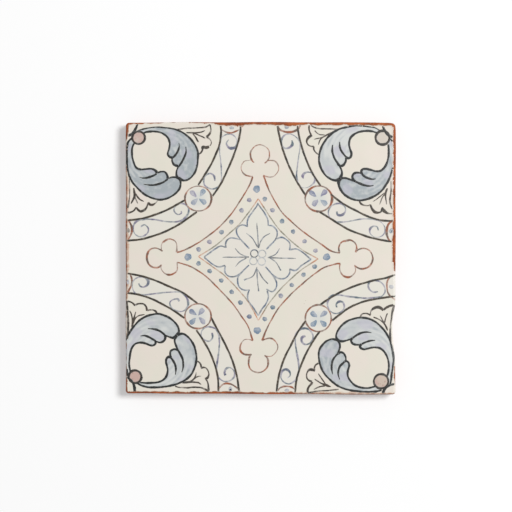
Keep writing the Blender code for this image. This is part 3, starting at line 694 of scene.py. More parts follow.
trefoils = [[(254.2, 162.6, 1), (252.1, 160.3, 0.8), (248.6, 160.4, 0.7), (244.5, 161.2, 0.9),
  (242.4, 163.5, 0.9), (241.2, 166.5, 0.9), (241.6, 170, 1), (243.3, 173.2, 1.4), (245.6, 175, 1.4),
  (249.2, 176.2, 1.3), (252.7, 176.6, 1.4)],
 [(253.9, 162.5, 1.3), (251.8, 160, 1.5), (250.6, 155.9, 1.7), (250.5, 152.9, 1.7),
  (251.8, 149.7, 1.5), (253.9, 147.1, 1), (256.8, 145.3, 1), (259.8, 144.7, 1), (263.3, 145.6, 1),
  (266.8, 147.6, 1), (268.9, 150.3, 1), (269.5, 154.1, 1.1), (268.9, 158.2, 1.3),
  (266.8, 161.5, 1.5), (264.5, 163.4, 1.4)],
 [(267.4, 160.8, 1.1), (270.9, 160.3, 1.1), (274.5, 160.9, 1.3), (277.1, 163.2, 1.2),
  (278.6, 166.8, 1.2), (278.3, 170.6, 0.9), (276.2, 174.1, 0.9), (273.3, 176.5, 0.9),
  (269.8, 177.1, 1.1), (266.8, 176.5, 1.2), (263.3, 175.3, 1.4)],
 [(161, 251, 1), (161.4, 249.6, 1.1), (161.4, 245.8, 0.9), (162.2, 243.1, 0.9), (163.7, 241.6, 1.7),
  (166.4, 239.9, 1.7), (168.7, 239, 1.2), (171.6, 239.3, 1.2), (174.6, 240.8, 1.2),
  (176.4, 243.4, 1), (176.9, 246.9, 1), (176.8, 250.5, 1.7), (176.6, 252.2, 1.8)],
 [(162.6, 251.2, 1.5), (159.9, 249.4, 1.3), (156.9, 248.3, 1.4), (153.4, 248.2, 1.3),
  (150.2, 249.6, 1.5), (147.8, 252.8, 1.8), (146.8, 256.9, 2), (147.2, 260.5, 2), (148.7, 264, 1.9),
  (151.6, 266.6, 1.6), (155.2, 267.6, 1.6), (158.7, 267.2, 1.5), (161.4, 265.2, 1.5)],
 [(161.4, 264.6, 1.3), (161.1, 267.8, 1), (162.5, 271.1, 1), (165.2, 273.7, 1), (168.7, 274.8, 1.9),
  (172.2, 274.3, 1.8), (175.2, 272.5, 1.5), (176.9, 270.5, 1.2), (177.4, 266.9, 1.1),
  (177.2, 264, 1), (177.4, 262.2, 1.1)],
 [(340, 252.6, 1.5), (339.1, 250.9, 1.8), (338.9, 246.8, 1.5), (340.3, 243.5, 1.3),
  (342.9, 241.5, 1.5), (345.9, 240.9, 1.9), (350, 240.1, 1.9), (352.6, 240.9, 1.6),
  (355.3, 243.2, 1.3), (356.6, 246.2, 1.3), (356.8, 249.1, 1.8), (355.5, 252.3, 1.8)],
 [(355.9, 252, 1.3), (358.2, 249.7, 1.4), (361.2, 248.6, 1.3), (365.3, 248.6, 1.3),
  (368.8, 250, 1.3), (371.2, 252.6, 1.4), (372.8, 256.8, 1.5), (372.6, 260.3, 1.7),
  (370.9, 264.4, 1.6), (367.6, 267.4, 1.7), (364.1, 268.7, 1.9), (360.6, 268.8, 1.7),
  (357.1, 267.4, 1.4), (354.4, 265.3, 1.5)],
 [(355, 265.9, 0.9), (355.6, 269.7, 0.9), (355, 272.6, 1), (352.6, 275.3, 1.4), (349.4, 277.1, 2),
  (345.9, 276.9, 1.9), (342.6, 275, 1.3), (340.6, 272.1, 1.3), (339.7, 268.5, 1.2),
  (339.7, 265.6, 1.3), (340.3, 263.5, 1.4)],
 [(252.9, 340.5, 1.6), (248.2, 339.4, 0.6), (244.6, 339.6, 0.9), (242.3, 341.7, 1),
  (240.5, 344.9, 1.5), (240.1, 348.5, 1.9), (241.1, 351.7, 1.8), (244.1, 354.1, 1.7),
  (247.6, 354.8, 1.6), (251.6, 354.8, 1.7)],
 [(251.4, 354, 1.4), (249.6, 356.7, 1.6), (248.8, 360.2, 1.7), (248.6, 363.8, 1.7),
  (249.4, 367.3, 1.5), (251.7, 370.2, 1.3), (255.2, 372, 1.3), (258.8, 372.6, 1.3),
  (262.3, 371.7, 1.3), (265.5, 369.4, 1.4), (267.6, 366.1, 1.7), (268.2, 362, 1.8),
  (267.3, 357.9, 1.5), (264.6, 355.5, 1.2)],
 [(264.4, 355.5, 1.3), (267.6, 356.4, 1.1), (271.1, 356.2, 1), (274.6, 353.8, 0.9),
  (277.3, 349.6, 1), (277.7, 346.1, 1.1), (276.4, 342.6, 1.2), (273.5, 339.4, 1.6),
  (269.9, 338.2, 1.4), (266.4, 338.8, 1.2), (262, 340.5, 1.7)]]
smallDots = [(249.3, 200, 0.85, 0.8), (241.6, 210.4, 0.6, 0.74), (231.3, 222, 0.1, 0.78),
 (221.5, 232.1, 0.1, 0.76), (209.5, 241.9, 0.9, 0.7), (198.7, 249.4, 0.5, 0.78),
 (264.8, 199, 0.1, 0.74), (272.5, 210.2, 0.6, 0.72), (282.1, 221.2, 0, 0.83),
 (293.1, 231.6, 0.2, 0.85), (304.6, 241.3, 0.6, 0.7), (315.5, 250.6, 0.9, 0.7),
 (198.5, 263.5, 0, 0.8), (209.7, 271.1, 0, 0.87), (221.3, 280.5, 0, 0.85),
 (231.7, 291.9, 0.1, 0.86), (240.4, 302.6, 0.1, 0.93), (249.3, 316.6, 0.4, 1),
 (314.7, 266.6, 0, 0.81), (303.5, 274.7, 0, 0.77), (291.8, 285, 0.2, 0.82),
 (280.8, 295.8, 0.5, 0.73), (272.7, 307.3, 0, 0.9), (264.8, 319, 0.2, 0.81)]
bigDots = [(256.7, 189), (188, 257), (326.7, 257), (257.3, 330.5)]
brownDot = [(128, 228.2, 1.9), (128.4, 230.3, 2.7), (128.2, 232.5, 2.2)]
halfDots = [(231.8, 127.8, 5.2, 3.6, 0, 0.5), (286.7, 127.4, 4.8, 3.6, 0.3, 0.6),
 (391, 231, 4.6, 5.2, 0, 0.66), (127.9, 282, 3, 5, 0.5, 0.6), (230.3, 388.8, 3.8, 5.2, 0.5, 0.58),
 (391.5, 286.8, 5.4, 4.4, 0.5, 0.4), (287, 390.3, 5.6, 3.4, 0.5, 0.5)]
diamond = [[(258.4, 198.8), (268, 213.7), (277.9, 227.8), (290.4, 240.3), (302.8, 250.2),
  (318.1, 258.9)],
 [(258.4, 198.8), (249, 212), (239.8, 223.7), (228.2, 234.5), (214.9, 246.1), (198.3, 256.4)],
 [(198.3, 256.4), (211.6, 266), (224, 275.1), (234.8, 285.9), (248.1, 301.6), (258.4, 320.3)],
 [(318.1, 258.9), (301.1, 270.1), (282.1, 287.5), (270, 302), (258.4, 320.3)]]
flower = {
    "petals": [[(655, 670), (560, 570), (510, 500), (500, 440), (530, 400), (580, 385), (635, 405)],
     [(635, 405), (630, 350), (650, 290), (700, 220), (750, 150), (760, 120)],
     [(760, 130), (850, 260), (880, 330), (885, 395)],
     [(885, 390), (940, 400), (985, 450), (990, 510), (970, 560), (860, 680)],
     [(970, 560), (1040, 535), (1100, 560), (1145, 610), (1140, 690)],
     [(1140, 685), (1220, 675), (1290, 710), (1400, 800)],
     [(1400, 800), (1290, 870), (1210, 935), (1140, 915)],
     [(1145, 915), (1140, 970), (1100, 1020), (1040, 1035), (960, 1005), (850, 890)],
     [(850, 890), (950, 1010), (985, 1090), (970, 1160), (930, 1190), (860, 1160)],
     [(870, 1180), (885, 1250), (860, 1330), (800, 1410), (765, 1480)],
     [(765, 1480), (700, 1380), (640, 1290), (635, 1230), (655, 1165)],
     [(655, 1170), (590, 1170), (540, 1140), (515, 1080), (520, 1010), (560, 960), (650, 870)],
     [(540, 560), (480, 545), (420, 545), (380, 580), (370, 620), (375, 660)],
     [(375, 655), (310, 640), (250, 670), (180, 720), (110, 770)],
     [(110, 775), (200, 850), (280, 890), (365, 875)],
     [(365, 880), (360, 950), (400, 1000), (450, 1010), (520, 990), (640, 880)]],
    "veins": [[(745, 360), (755, 480), (765, 665)],
     [(620, 485), (690, 545), (755, 650)],
     [(905, 487), (830, 530), (790, 590), (770, 660)],
     [(1215, 790), (880, 780)],
     [(1020, 670), (970, 740), (880, 780)],
     [(890, 775), (980, 840), (1035, 935)],
     [(745, 890), (750, 1000), (767, 1185)],
     [(745, 900), (700, 1000), (590, 1050)],
     [(755, 920), (820, 1030), (880, 1095)],
     [(330, 775), (650, 773)],
     [(485, 668), (540, 730), (640, 775)],
     [(485, 890), (540, 830), (620, 785)]],
    "clover": [(715, 730, 45), (810, 735, 45), (705, 820, 45), (805, 825, 45)],
}


def onFace(points, sheet):
    # The sheet's corner plus the point over the sheet's zoom, in mm. A third number stays.
    left, top, zoom = sheets[sheet]
    places = np.asarray(points, float)
    x = (places[:, 0] / zoom + left - face["centreX"]) * face["mmPerPixel"] + shiftX
    y = (face["centreY"] - places[:, 1] / zoom - top) * face["mmPerPixel"] + shiftY
    return np.column_stack([x, y, places[:, 2:]])


def lengthsAlong(path):    # length of the path up to each of its points
    steps = np.hypot(np.diff(path[:, 0]), np.diff(path[:, 1]))
    return np.concatenate([[0], np.cumsum(steps)])


def smoothPath(points, step=0.45):
    # Centripetal Catmull-Rom curve through the points, cut into even steps by length. A clock
    # that grows by the square root of the gap from knot to knot runs along the curve. Each
    # span blends the four knots about it in pairs of neighbours, and the blends again, until
    # one curve is left. A blend moves from one neighbour to the other as the clock runs.
    knots = np.asarray(points, float)
    if len(knots) > 2:
        knots = np.vstack([2 * knots[0] - knots[1], knots, 2 * knots[-1] - knots[-2]])
        gaps = np.linalg.norm(np.diff(knots[:, :2], axis=0), axis=1)
        clock = np.concatenate([[0], np.cumsum(np.sqrt(np.maximum(gaps, 1e-9)))])
        spans = []
        share = np.linspace(0, 1, 25)[:-1, None]
        for i in range(1, len(knots) - 2):
            now = clock[i] + share * (clock[i + 1] - clock[i])
            blends, ticks = knots[i - 1 : i + 3], clock[i - 1 : i + 3]
            for apart in (1, 2):
                starts, ends = ticks[:-apart], ticks[apart:]
                blends = [((end - now) * before + (now - start) * after) / (end - start)
                          for before, after, start, end in zip(blends[:-1], blends[1:], starts, ends)]
            spans.append(((ticks[2] - now) * blends[0] + (now - ticks[1]) * blends[1])
                         / (ticks[2] - ticks[1]))
        knots = np.vstack(spans + [knots[-2:-1]])
    lengths = lengthsAlong(knots)
    count = max(int(round(lengths[-1] / step)), 2) + 1
    at = np.linspace(0, lengths[-1], count)
    return np.column_stack([np.interp(at, lengths, column) for column in knots.T])


def pathDistance(x, y, path):    # each point's distance to the nearest piece of the path
    starts, run = path[:-1], np.diff(path, axis=0)
    fromX, fromY = x[:, None] - starts[:, 0], y[:, None] - starts[:, 1]
    share = (fromX * run[:, 0] + fromY * run[:, 1]) / np.maximum((run**2).sum(axis=1), 1e-12)
    share = np.clip(share, 0, 1)
    gaps = np.hypot(fromX - share * run[:, 0], fromY - share * run[:, 1])
    return gaps.min(axis=1), gaps.argmin(axis=1)


def depthInside(x, y, path, reach=3.0):
    # How deep each point lies inside a closed path, and below nought how far outside it is.
    # A point is inside when a line from it to the right crosses the path an odd number of times.
    ring = np.vstack([path, path[:1]])
    low, high = ring.min(axis=0) - reach, ring.max(axis=0) + reach
    near = (x > low[0]) & (x < high[0]) & (y > low[1]) & (y < high[1])
    depth = np.full(x.shape, -reach)
    nearX, nearY = x[near], y[near]
    gaps = pathDistance(nearX, nearY, ring)[0]
    (startX, startY), (endX, endY) = ring[:-1].T, ring[1:].T
    spans = (startY > nearY[:, None]) != (endY > nearY[:, None])
    rise = np.where(startY == endY, 1.0, endY - startY)
    crossing = startX + (endX - startX) * (nearY[:, None] - startY) / rise
    inside = (spans & (nearX[:, None] < crossing)).sum(axis=1) % 2 == 1
    depth[near] = np.where(inside, gaps, -gaps)
    return np.maximum(depth, -reach)


# The tile's outline and the glaze's lip along it, for whatever is painted near the rim
outlineEdge = latticeOf(300, 6)[1]
outline = np.stack(handCut(*roundedSquare(*outlineEdge, 0.0)), axis=1)
outlineLip = lipAlong(aroundOf(outlineEdge))


# Brush strokes: lens-shaped ribbons of pigment, melted into the glaze at their edges
brush = {
    "profile": np.array([-1.0, -0.78, -0.45, 0.0, 0.45, 0.78, 1.0]),
    "full": np.array([0.22, 0.7, 1.0, 1.0, 1.0, 0.7, 0.22]),
    "sunkEdge": 0.012,
    "rimZone": 5.0,          # how near the rim a stroke has to be for the rim to matter
    "farRoom": 20.0,         # the room that it is given elsewhere
    "lipRoom": 0.3,          # how near the glaze's lip the middle of a stroke may come
    "edgeRoom": 0.06,        # and how near its edge may come
    "leastShare": 0.1,       # of a stroke's half width, kept however near the rim is
    "wander": 0.05,          # unsteadiness of the hand, in mm
    "waves": ((11.0, 0.6), (5.0, 0.4), (2.2, 0.25)),    # lengths in mm, and their weights
    "lightTouch": 0.45,      # share of the pigment that a stroke without pressure has
    "taperFrom": -0.3,       # where the taper sets in, in mm past the stroke's end
    "endReach": (1.0, 9.0),  # how far from the ends the tone changes
    "leastLift": 0.4,        # share of its relief that a light stroke still has
}


def coatTop(x, y):
    # Height of the glaze, how far inside its lip each point lies, and how far inside the
    # tile's outline. In from the rim by g, the way over the rounding is r * asin(1 - g / r).
    height = faceHeight(x, y) - coatSink(coat["farIn"], 0.0, x, y)
    room = np.full(x.shape, brush["farRoom"])
    inward = np.full(x.shape, brush["farRoom"])
    half = tile["width"] / 2 - brush["rimZone"]
    near = (np.abs(x) > half) | (np.abs(y) > half)
    if near.any():
        gaps, nearest = pathDistance(x[near], y[near], np.vstack([outline, outline[:1]]))
        arris = tile["faceArris"]
        angle = np.arcsin(np.clip(1 - gaps / arris, 0, 1))
        along = np.where(gaps > arris, arris - gaps, arris * angle)
        lip = outlineLip[nearest]
        sink = coatSink(along, lip, x[near], y[near])
        drop = arris * (1 - np.cos(angle)) + sink * np.cos(angle)
        height[near] = faceHeight(x[near], y[near]) - drop
        inside = depthInside(x[near], y[near], outline) > 0
        room[near] = np.where(inside, lip - along, coat["hiddenRoom"])
        inward[near] = gaps
    return height, room, inward


def strokeRuns(spec):
    # The parts of a stroke's path that have glaze under them, and the brush's press along them
    path = smoothPath(onFace(spec["points"], spec["sheet"]))
    if path.shape[1] == 2:
        path = np.column_stack([path, np.ones(len(path))])
    held = coatTop(path[:, 0], path[:, 1])[1] > brush["lipRoom"]
    breaks = np.flatnonzero(held[1:] != held[:-1]) + 1
    runs = [run for run in np.split(np.arange(len(path)), breaks) if held[run[0]] and len(run) > 4]
    return [(path[run, :2], path[run, 2]) for run in runs]


def ribbon(path, press, spec, dice):
    # A profile carried along the path: across it the height falls as 1 - p^2, and along it
    # the width, the load of pigment and its tone follow slow seeded waves. The width grows
    # with the press, and the load from its light touch to full as the press goes to 1.
    count = len(path)
    run = np.gradient(path, axis=0)
    run = run / np.linalg.norm(run, axis=1, keepdims=True)
    side = np.stack([-run[:, 1], run[:, 0]], axis=1)
    lengths = lengthsAlong(path)
    waves = np.zeros((4, count))
    for size, weight in brush["waves"]:
        phases = dice.random((4, 1)) * 2 * np.pi
        turns = 2 * np.pi * lengths / size * (0.8 + 0.4 * dice.random())
        waves = waves + weight * np.sin(turns + phases)
    startTaper, endTaper = spec["taper"]
    taper = (brush["taperFrom"], spec["taperReach"])
    fromStart = startTaper + (1 - startTaper) * smooth(lengths, *taper)
    fromEnd = endTaper + (1 - endTaper) * smooth(lengths[-1] - lengths, *taper)
    pressure = fromStart * fromEnd
    halfWidth = spec["width"] / 2 * pressure * press * (1 + spec["unsteady"] * waves[0])
    soft, firm = brush["lightTouch"], 1 - brush["lightTouch"]
    load = spec["load"] * (1 + spec["patchy"] * waves[1]) * (soft + firm * pressure)
    load = load * (soft + firm * press)
    inner = smooth(lengths, *brush["endReach"])
    inner = inner * smooth(lengths[-1] - lengths, *brush["endReach"])
    tone = spec["tone"] + spec["sway"] * waves[3] + spec["endTone"] * (1 - inner)
    tone = np.clip(tone, 0, 1)[:, None]
    middle = path + side * (brush["wander"] * waves[2])[:, None]
    across = brush["profile"][None, :] * halfWidth[:, None]
    # near the rim, the half that faces it is narrowed to the room that the lip and the
    # tile's outline leave
    spare = np.minimum(*coatTop(middle[:, 0], middle[:, 1])[1:]) - brush["edgeRoom"]
    offCentre = np.abs(middle)
    outward = np.sign(middle) * (offCentre == offCentre.max(axis=1, keepdims=True))
    facing = (side * outward).sum(axis=1)[:, None]
    reach = np.maximum(halfWidth[:, None] * np.abs(facing), 1e-6)
    share = np.clip(spare[:, None] / reach, brush["leastShare"], 1)
    across = across * np.where(facing * across > 0, share, 1)
    plan = middle[:, None, :] + side[:, None, :] * across[..., None]
    swelling = np.clip(pressure, brush["leastLift"], 1)[:, None]
    lift = spec["relief"] * (1 - brush["profile"] ** 2)[None, :] * swelling
    lift = lift - brush["sunkEdge"] * (np.abs(brush["profile"]) == 1.0)[None, :]
    density = np.clip(load, 0, 1)[:, None] * brush["full"][None, :]
    return plan, lift, density, np.broadcast_to(tone, density.shape)


def tubeFaces(first, count, across):
    # Quads over the ribbon's top, one wide quad under each step, and the two end caps
    index = first + np.arange(count * across).reshape(count, across)
    nextAcross = np.roll(index, -1, axis=1)
    quads = np.stack([index[:-1], index[1:], nextAcross[1:], nextAcross[:-1]], axis=-1)
    return quads.reshape(-1, 4)[:, ::-1], [index[0], index[-1, ::-1]]


def paintStrokes(name, specs, material, seed):    # all the ribbons of one piece, on the glaze
    dice = np.random.default_rng(seed)
    points, quads, caps, density, tone = [], [], [], [], []
    first = 0
    runs = [(path, press, spec) for spec in specs for path, press in strokeRuns(spec)]
    for path, press, spec in runs:
        plan, lift, load, shade = ribbon(path, press, spec, dice)
        x, y = plan[..., 0].ravel(), plan[..., 1].ravel()
        points.append(np.stack([x, y, coatTop(x, y)[0] + lift.ravel()], axis=1))
        sides, ends = tubeFaces(first, len(path), len(brush["profile"]))
        quads.append(sides)
        caps += ends
        density.append(load.ravel())
        tone.append(shade.ravel())
        first += x.size
    attributes = {"pigment": np.concatenate(density), "tone": np.concatenate(tone)}
    return newPiece(name, np.vstack(points), [np.vstack(quads), np.array(caps)], material,
                    attributes)


def strokeOf(points, sheet, style, **changes):
    return dict(style, points=points, sheet=sheet, **changes)


# Round marks: domes of pigment on a polar grid
mark = {
    "rings": 5,
    "spokes": 24,
    "wobble": 0.07,          # how far the outline strays, as a share of the radius
    "wobbleWaves": (2, 3, 5),
    "wobbleSum": 1.5,
    "middleLoad": 0.8,       # pigment in the middle, its pooling further out, the thin rim,
    "pooling": 0.25,         # and how much more of it one side has
    "thinRim": 0.45,
    "oneSided": 0.18,
}


def paintMarks(name, marks, material, seed):
    # Each mark is an egg: along its axis r * cos, across it r * sin * (1 + lean * cos), and
    # its height falls as 1 - r^4 to a rim just under the glaze.
    dice = np.random.default_rng(seed)
    turn = np.arange(mark["spokes"]) / mark["spokes"] * 2 * np.pi
    reach = np.linspace(0, 1, mark["rings"] + 1)[1:, None]
    points, quads, triangles, bases, density, tone = [], [], [], [], [], []
    first = 0
    for spec in marks:
        phases = dice.random(3) * 2 * np.pi
        wobble = sum(np.sin(order * turn + phase)
                     for order, phase in zip(mark["wobbleWaves"], phases))
        edge = 1 + mark["wobble"] * wobble / mark["wobbleSum"]
        alongAxis = spec["length"] / 2 * np.cos(turn) * edge * reach
        acrossAxis = spec["breadth"] / 2 * np.sin(turn) * edge * reach
        acrossAxis = acrossAxis * (1 + spec["lean"] * np.cos(turn) * reach)
        cos, sin = np.cos(spec["angle"]), np.sin(spec["angle"])
        x = spec["at"][0] + np.append(0, alongAxis * cos - acrossAxis * sin)
        y = spec["at"][1] + np.append(0, alongAxis * sin + acrossAxis * cos)
        radius = np.append(0, np.broadcast_to(reach, alongAxis.shape))
        lift = spec["relief"] * (1 - radius**4) - brush["sunkEdge"] * (radius == 1)
        height, room = coatTop(x, y)[:2]
        points.append(np.stack([x, y, height + lift], axis=1))
        ring = first + 1 + np.arange(mark["rings"] * mark["spokes"]).reshape(mark["rings"], -1)
        beside = np.roll(ring, -1, axis=1)
        triangles.append(np.stack([np.full(mark["spokes"], first), ring[0], beside[0]], axis=1))
        between = np.stack([ring[:-1], ring[1:], beside[1:], beside[:-1]], axis=-1)
        quads.append(between.reshape(-1, 4))
        bases.append(ring[-1, ::-1])
        shade = mark["middleLoad"] + mark["pooling"] * radius**3 - mark["thinRim"] * (radius == 1)
        around = np.append(0, np.broadcast_to(turn, alongAxis.shape)) + phases[0]
        shade = spec["load"] * shade * (1 + mark["oneSided"] * np.cos(around))
        density.append(np.clip(shade, 0, 1) * (room > brush["lipRoom"]))
        tone.append(np.full(len(x), spec["tone"]))
        first += len(x)
    attributes = {"pigment": np.concatenate(density), "tone": np.concatenate(tone)}
    faces = [np.vstack(quads), np.vstack(triangles), np.array(bases)]
    return newPiece(name, np.vstack(points), faces, material, attributes)


def markOf(at, length, breadth, load, tone, lean=0.0, angle=0.0, relief=0.01):
    return {"at": at, "length": length, "breadth": breadth, "load": load, "tone": tone,
            "lean": lean, "angle": angle, "relief": relief}


# The room and the floor
light = {
    "onFace": 1.27,          # how bright a pure white comes out on the face
    "fill": 0.35,
    "key": 96.0,
    "keySize": 1.1,
    "keyDistance": 3.0,
    "keyAround": 26.0,       # degrees from the tile's right towards its top
    "keyHeight": 59.0,
    "floorTone": 0.5,
    "floorGlow": 0.374,      # the bleached backdrop of a catalogue picture
    "floorSize": 2.6,
    "floorDrop": 0.02,
    "floorRoughness": 0.9,
    "backdrop": 1.05,        # the white behind everything, as the camera sees it
}


def paint(red, green, blue):    # a colour as it is seen, 0 to 255, to the shader's own colour
    seen = np.array([red, green, blue]) / 255
    linear = np.where(seen > 0.04045, ((seen + 0.055) / 1.055) ** 2.4, seen / 12.92)
    return (*(linear / light["onFace"]).tolist(), 1.0)


def newMaterial(name, roughness):
    material = bpy.data.materials.new(name)
    material.use_nodes = True
    tree = material.node_tree
    shader = tree.nodes["Principled BSDF"]
    shader.inputs["Roughness"].default_value = roughness
    return material, tree, shader


def addNode(tree, kind, inputs=None, **settings):
    made = tree.nodes.new("ShaderNode" + kind)
    for key, value in settings.items():
        setattr(made, key, value)
    for key, value in (inputs or {}).items():
        if isinstance(value, bpy.types.NodeSocket):
            tree.links.new(value, made.inputs[key])
        else:
            made.inputs[key].default_value = value
    return made


def blendColour(tree, factor, first, second):
    made = addNode(tree, "Mix", {0: factor, 6: first, 7: second}, data_type="RGBA")
    return made.outputs[2]


def step(tree, value, low, high, start=0.0, end=1.0):    # a soft step from start to end
    made = addNode(tree, "MapRange", {0: value, 1: low, 2: high, 3: start, 4: end},
                   interpolation_type="SMOOTHSTEP")
    return made.outputs[0]


def times(tree, first, second):
    return addNode(tree, "Math", {0: first, 1: second}, operation="MULTIPLY").outputs[0]


def plus(tree, first, second):
    return addNode(tree, "Math", {0: first, 1: second}, operation="ADD").outputs[0]


def grain(tree, size, detail=2.0, roughness=0.5, stretch=(1.0, 1.0, 1.0)):
    # Noise with blobs of about the given size in mm, in the tile's own coordinates
    places = addNode(tree, "TexCoord").outputs["Object"]
    scale = tuple(part / (size * mm) for part in stretch)
    moved = addNode(tree, "Mapping", {"Vector": places, "Scale": scale}).outputs[0]
    noise = addNode(tree, "TexNoise", {"Vector": moved, "Scale": 1.0, "Detail": detail,
                                       "Roughness": roughness})
    return noise.outputs[0]


def layer(tree, name):    # a value that the mesh carries
    return addNode(tree, "Attribute", attribute_name=name).outputs["Fac"]


def roughen(tree, shader, height, distance, strength=1.0):
    bump = addNode(tree, "Bump", {"Height": height, "Distance": distance * mm,
                                  "Strength": strength})
    tree.links.new(bump.outputs[0], shader.inputs["Normal"])


clayLook = {
    "base": paint(178, 91, 39),
    "dark": paint(136, 62, 24),
    "pale": paint(222, 154, 106),
    "dull": paint(158, 128, 112),
    "roughness": 0.86,
    "patchSize": 9.0,
    "dustSize": 1.3,
    "speckSize": 0.55,
    "dullSize": 2.2,
    "fineSize": 0.4,
    "coarseSize": 2.4,
    "bump": 0.12,
}


def clayMaterial():
    material, tree, shader = newMaterial("firedClay", clayLook["roughness"])
    patches = step(tree, grain(tree, clayLook["patchSize"], 4.0, 0.6), 0.38, 0.66)
    colour = blendColour(tree, patches, clayLook["base"], clayLook["dark"])
    dust = step(tree, grain(tree, clayLook["dustSize"], 5.0, 0.65), 0.55, 0.75, 0.0, 0.55)
    colour = blendColour(tree, dust, colour, clayLook["pale"])
    specks = step(tree, grain(tree, clayLook["speckSize"], 2.0, 0.5), 0.66, 0.74, 0.0, 0.7)
    colour = blendColour(tree, specks, colour, clayLook["dark"])
    uneven = step(tree, grain(tree, clayLook["dullSize"], 3.0), 0.3, 0.6, 0.45, 1.0)
    dull = times(tree, layer(tree, "skin"), uneven)
    colour = blendColour(tree, dull, colour, clayLook["dull"])
    tree.links.new(colour, shader.inputs["Base Color"])
    fine = grain(tree, clayLook["fineSize"], 4.0, 0.7)
    coarse = grain(tree, clayLook["coarseSize"], 3.0, 0.6)
    roughen(tree, shader, plus(tree, fine, coarse), clayLook["bump"], 0.8)
    return material


glazeLook = {
    "cream": paint(231, 224, 211),
    "rosy": paint(234, 222, 213),
    "greenish": paint(227, 225, 210),
    "pale": paint(229, 228, 220),
    "leaf": paint(197, 201, 201),
    "leafDeep": paint(169, 177, 181),
    "leafLilac": paint(193, 191, 203),
    "leafLight": paint(214, 216, 213),
    "ballRosy": paint(203, 172, 162),
    "ballBrown": paint(206, 189, 174),
    "ballPale": paint(214, 207, 195),
    "ballMark": paint(150, 112, 96),
    # thinned glaze over the clay, and painted shade where the band is wider on the left and bottom
    "thinGlazeAndShade": paint(202, 168, 146),
    "thinEdge": paint(116, 78, 56),
    "pin": paint(150, 128, 105),
    "tint": paint(196, 206, 208),
    "roughness": 0.27,
    "cloudSize": 14.0,
    "evenSize": 5.0,
    "washSize": 2.0,
    "ballSize": 2.6,
    "ballMarkSize": 1.1,
    "thinSize": 1.8,
    "thinEdgeSize": 1.2,
    "pinSize": 0.8,
    "rippleSize": 3.2,
    "fineRippleSize": 0.9,
    "ripple": 0.03,
}


def glazeMaterial():
    material, tree, shader = newMaterial("creamGlaze", glazeLook["roughness"])
    cloudy = step(tree, grain(tree, glazeLook["cloudSize"], 3.0), 0.35, 0.65)
    colour = blendColour(tree, cloudy, glazeLook["rosy"], glazeLook["greenish"])
    even = step(tree, grain(tree, glazeLook["evenSize"], 2.0), 0.3, 0.7, 0.35, 0.8)
    colour = blendColour(tree, even, colour, glazeLook["cream"])
    pale = step(tree, layer(tree, "paleDepth"), -0.9, 1.2, 0.0, 0.5)
    colour = blendColour(tree, pale, colour, glazeLook["pale"])
    colour = blendColour(tree, layer(tree, "discTint"), colour, glazeLook["tint"])
    # the leaves' wash, from thin and light to pooled and deep
    uneven = step(tree, grain(tree, glazeLook["washSize"], 3.0), 0.3, 0.7, 0.8, 1.2)
    shade = times(tree, layer(tree, "leafShade"), uneven)
    thinWash, deepWash = step(tree, shade, 0.05, 0.5), step(tree, shade, 0.45, 1.0)
    wash = blendColour(tree, thinWash, glazeLook["leafLight"], glazeLook["leaf"])
    wash = blendColour(tree, deepWash, wash, glazeLook["leafDeep"])
    wash = blendColour(tree, layer(tree, "leafLilac"), wash, glazeLook["leafLilac"])
    inLeaf = step(tree, layer(tree, "leafDepth"), -0.15, 0.35)
    colour = blendColour(tree, inLeaf, colour, wash)
    # the balls, from pale over rosy to brown, with a few dark marks
    uneven = step(tree, grain(tree, glazeLook["ballSize"], 2.0), 0.3, 0.7, 0.75, 1.2)
    tone = times(tree, layer(tree, "ballTone"), uneven)
    rosy, brown = step(tree, tone, 0.0, 0.6), step(tree, tone, 0.6, 1.0)
    rose = blendColour(tree, rosy, glazeLook["ballPale"], glazeLook["ballRosy"])
    rose = blendColour(tree, brown, rose, glazeLook["ballBrown"])
    marks = step(tree, grain(tree, glazeLook["ballMarkSize"], 2.0), 0.62, 0.72, 0.0, 0.8)
    marks = times(tree, marks, layer(tree, "ballTone"))
    rose = blendColour(tree, marks, rose, glazeLook["ballMark"])
    inBall = step(tree, layer(tree, "ballDepth"), -0.15, 0.3)
    colour = blendColour(tree, inBall, colour, rose)
    # towards its lip the glaze thins, and the clay shows through it
    # on the left and bottom rim, away from the light, the wider thin band is painted shade as well as
    # thin glaze
    thin = times(tree, step(tree, layer(tree, "thinAndShadedRoom"), 1.1, 0.5),
                 step(tree, grain(tree, glazeLook["thinSize"], 3.0), 0.3, 0.55, 0.3, 1.0))
    colour = blendColour(tree, thin, colour, glazeLook["thinGlazeAndShade"])
    burnt = times(tree, step(tree, layer(tree, "lipRoom"), 0.32, 0.02),
                  step(tree, grain(tree, glazeLook["thinEdgeSize"], 3.0), 0.35, 0.6, 0.3, 1.0))
    colour = blendColour(tree, burnt, colour, glazeLook["thinEdge"])
    pins = step(tree, grain(tree, glazeLook["pinSize"], 1.0), 0.78, 0.84, 0.0, 0.6)
    colour = blendColour(tree, pins, colour, glazeLook["pin"])
    tree.links.new(colour, shader.inputs["Base Color"])
    fine = times(tree, grain(tree, glazeLook["fineRippleSize"], 2.0), 0.3)
    ripple = plus(tree, grain(tree, glazeLook["rippleSize"], 2.0), fine)
    roughen(tree, shader, ripple, glazeLook["ripple"], 0.5)
    return material


pigmentLook = {"roughness": 0.32, "speckleSize": 0.7, "brushSize": 0.6, "bump": 0.012}

